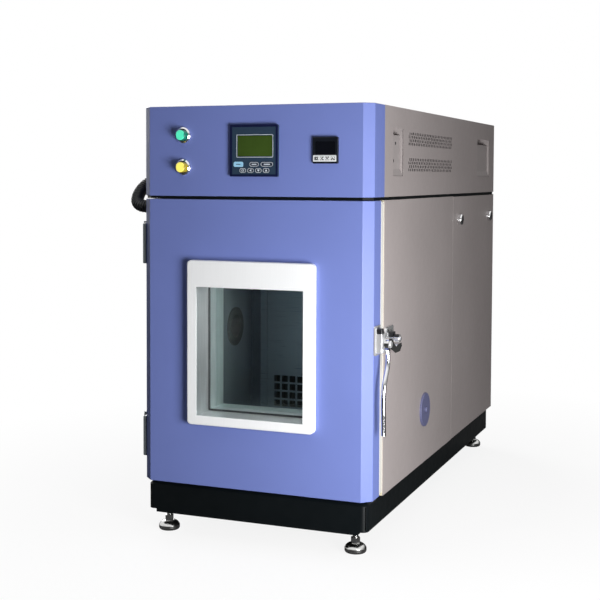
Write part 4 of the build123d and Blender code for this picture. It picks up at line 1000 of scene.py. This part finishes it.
# Each key's place on the face, its width, height and corner radius, and its sign.
KEYS = {
    "menu": (49.0, 73.2, 19.0, 8.8, 4.0, None),
    "page": (74.6, 73.2, 25.0, 8.8, 4.0, None),
    "back": (26.1, 84.6, 13.4, 9.0, 4.2, "bar"),
    "left": (41.8, 84.6, 13.4, 9.0, 4.2, "left"),
    "down": (57.5, 84.6, 13.4, 9.0, 4.2, "down"),
    "up": (73.2, 84.6, 13.4, 9.0, 4.2, "up"),
}
for name, (across, down, width, height, radius, sign) in KEYS.items():
    centre = on_face(CONTROLLER, across, down)
    parts = [front_ring(width - 0.8, height - 0.8, radius - 0.4, 0.8, centre, KEY_FACE - INK, INK)]
    if sign == "bar":
        parts.append(front_ring(5.2, 3.6, 1.0, 0.9, centre, KEY_FACE - INK, INK))
    elif sign:
        parts.append(front_plate(arrow(sign, 3.3), centre, KEY_FACE - INK, INK))
    else:
        parts.append(front_plate(round_corner(width * 0.5, 1.8, 0.4, 1), centre, KEY_FACE - INK, INK))
    made_piece(f"controller_sign_{name}", parts, f"controller_key_{name}", PRINT)
run_centre = on_face(CONTROLLER, 17.1, 73.2)
made_piece(
    "controller_sign_run", [front_plate(round_corner(9.0, 1.2, 0.3, 1), run_centre, KEY_FACE - INK, INK)],
    "controller_key_run", FACE,
)

made_piece(
    "limiter_screen",
    [front_plate(round_corner(37.4, 22.4, 1.0, 2), on_face(LIMITER, 24.0, 19.5), FACE_Y + 0.5, 0.5)],
    "cabinet", SMOKED,
)
STRIP = 0.22
strip_parts = [front_ring(44.6, 11.4, 1.0, 2.6, on_face(LIMITER, 23.2, 38.7), FACE_Y - STRIP, STRIP)]
for across in (13.0, 23.2, 33.4):
    bar = round_corner(3.2, 6.4, 0.3, 1)
    strip_parts.append(front_plate(bar, on_face(LIMITER, across, 38.6), FACE_Y - STRIP, STRIP))
made_piece("limiter_strip", strip_parts, "cabinet", PRINT_WHITE)
LIMITER_KEYS = {"set": 7.9, "left": 18.1, "down": 28.3, "up": 38.5}
for name, across in LIMITER_KEYS.items():
    centre = on_face(LIMITER, across, 38.6)
    if name == "set":
        sign = [front_ring(5.6, 4.6, 1.6, 1.5, centre, KEY_FACE - INK, INK)]
    else:
        sign = [front_plate(chevron(name, 2.9, 0.75), centre, KEY_FACE - INK, INK)]
    made_piece(f"limiter_sign_{name}", sign, f"limiter_key_{name}", PRINT_BLACK)


# ---------- window seal ----------
WINDOW_OPENING = (216, 245)
WINDOW_CENTRE = (-1.0, 317.5)
BEAD_INSET = 0.3
bead_width, bead_height = (size - 2 * BEAD_INSET for size in WINDOW_OPENING)
outer_bead = front_ring(bead_width, bead_height, 2.5, 3.6, WINDOW_CENTRE, 38.2, 2.4)
made_piece("window_outer_seal", [outer_bead], "door", RUBBER)


# ---------- stage and light ----------
def floor_material():
    """Pale floor that keeps the object's shadow and runs out into the white background."""
    material, tree, shader, place = finish("pale_floor")
    pale = tones(tree, grain(tree, place, 2.0), (0.86, 0.86, 0.86), (0.90, 0.90, 0.90))
    tree.links.new(pale, shader.inputs["Base Color"])
    shader.inputs["Roughness"].default_value = 0.9
    shader.inputs["Specular IOR Level"].default_value = 0.0
    glow = tree.nodes.new("ShaderNodeEmission")
    glow.inputs["Strength"].default_value = 1.0
    reach = tree.nodes.new("ShaderNodeVectorMath")
    reach.operation = "LENGTH"
    tree.links.new(stretched(tree, place, (1.0, 0.8, 1.0)), reach.inputs[0])
    share = between(tree, reach.outputs["Value"], 0.87, 1.0, 0.45, 1.10)
    lit = tree.nodes.new("ShaderNodeMixShader")
    tree.links.new(share, lit.inputs["Fac"])
    tree.links.new(shader.outputs["BSDF"], lit.inputs[1])
    tree.links.new(glow.outputs["Emission"], lit.inputs[2])
    dull = tree.nodes.new("ShaderNodeBsdfDiffuse")
    dull.inputs["Color"].default_value = (0.10, 0.10, 0.10, 1)
    rays = tree.nodes.new("ShaderNodeLightPath")
    seen = tree.nodes.new("ShaderNodeMixShader")
    tree.links.new(rays.outputs["Is Camera Ray"], seen.inputs["Fac"])
    tree.links.new(dull.outputs["BSDF"], seen.inputs[1])
    tree.links.new(lit.outputs["Shader"], seen.inputs[2])
    tree.links.new(seen.outputs["Shader"], tree.nodes["Material Output"].inputs["Surface"])
    return material


floor_mesh = bpy.data.meshes.new("floor")
floor_mesh.from_pydata([(-14, -14, 0), (14, -14, 0), (14, 14, 0), (-14, 14, 0)], [], [(0, 1, 2, 3)])
floor_mesh.materials.append(floor_material())
floor = bpy.data.objects.new("floor", floor_mesh)
bpy.context.scene.collection.objects.link(floor)
floor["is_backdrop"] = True

world = bpy.data.worlds.new("studio")
bpy.context.scene.world = world
world.use_nodes = True
sky = world.node_tree
background = sky.nodes["Background"]
background.inputs["Color"].default_value = (1, 1, 1, 1)
direction = sky.nodes.new("ShaderNodeTexCoord")
split = sky.nodes.new("ShaderNodeSeparateXYZ")
sky.links.new(direction.outputs["Generated"], split.inputs[0])


def sky_range(value, start, end, low, high):
    """A level of the sky that changes with one direction."""
    ranged = sky.nodes.new("ShaderNodeMapRange")
    ranged.interpolation_type = "SMOOTHSTEP"
    ranged.inputs["From Min"].default_value = start
    ranged.inputs["From Max"].default_value = end
    ranged.inputs["To Min"].default_value = low
    ranged.inputs["To Max"].default_value = high
    sky.links.new(value, ranged.inputs["Value"])
    return ranged.outputs["Result"]


def sky_sum(operation, first, second):
    """One sum of two levels."""
    made = sky.nodes.new("ShaderNodeMath")
    made.operation = operation
    for socket, given in zip(made.inputs, (first, second)):
        if isinstance(given, bpy.types.NodeSocket):
            sky.links.new(given, socket)
        else:
            socket.default_value = given
    return made.outputs[0]


def sky_choice(share, first, second):
    """The first level, or the second where the share is one."""
    made = sky.nodes.new("ShaderNodeMix")
    sky.links.new(share, made.inputs[0])
    for socket, given in zip(made.inputs[2:4], (first, second)):
        if isinstance(given, bpy.types.NodeSocket):
            sky.links.new(given, socket)
        else:
            socket.default_value = given
    return made.outputs[0]


overhead = sky_range(split.outputs["Z"], 0.45, 0.95, 0.03, 0.75)
mirror_top = sky_range(split.outputs["Z"], 0.20, 0.60, 0.0, 1.1)
mirror_left = sky_range(split.outputs["X"], -0.80, -0.60, 1.0, 0.03)
mirror_right = sky_range(split.outputs["X"], 0.70, 0.95, 0.0, 0.5)
mirrored_sky = sky_sum("MAXIMUM", mirror_top, sky_sum("MAXIMUM", mirror_left, mirror_right))
rays = sky.nodes.new("ShaderNodeLightPath")
direct = sky_sum("MAXIMUM", rays.outputs["Is Camera Ray"], rays.outputs["Is Transmission Ray"])
level_seen = sky_choice(rays.outputs["Is Glossy Ray"], overhead, mirrored_sky)
sky.links.new(sky_choice(direct, level_seen, 1.0), background.inputs["Strength"])


def softbox(name, place, target, width, height, power):
    """A rectangular lamp aimed at a point."""
    data = bpy.data.lights.new(name, "AREA")
    data.shape = "RECTANGLE"
    data.size = width
    data.size_y = height
    data.energy = power
    lamp = bpy.data.objects.new(name, data)
    bpy.context.scene.collection.objects.link(lamp)
    aim = (Vector(target) - Vector(place)).to_track_quat("-Z", "Y")
    lamp.matrix_world = Matrix.Translation(place) @ aim.to_matrix().to_4x4()
    return lamp


softbox("key_light", (1.02, -1.24, 0.28), (0.12, -0.35, 0.42), width=0.6, height=0.6, power=25)
softbox("chamber_light", (0.05, -0.32, 0.575), (0.0, -0.06, 0.25), width=0.20, height=0.05, power=0.13)
softbox("sill_light", (0.015, -0.503, 0.482), (0.0, -0.503, 0.24), width=0.12, height=0.02, power=0.50)
softbox("rear_light", (-1.9, 2.1, 1.5), (0.0, 0.2, 0.4), width=1.6, height=1.4, power=45)

bpy.context.scene.view_settings.view_transform = "Standard"

low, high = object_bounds()
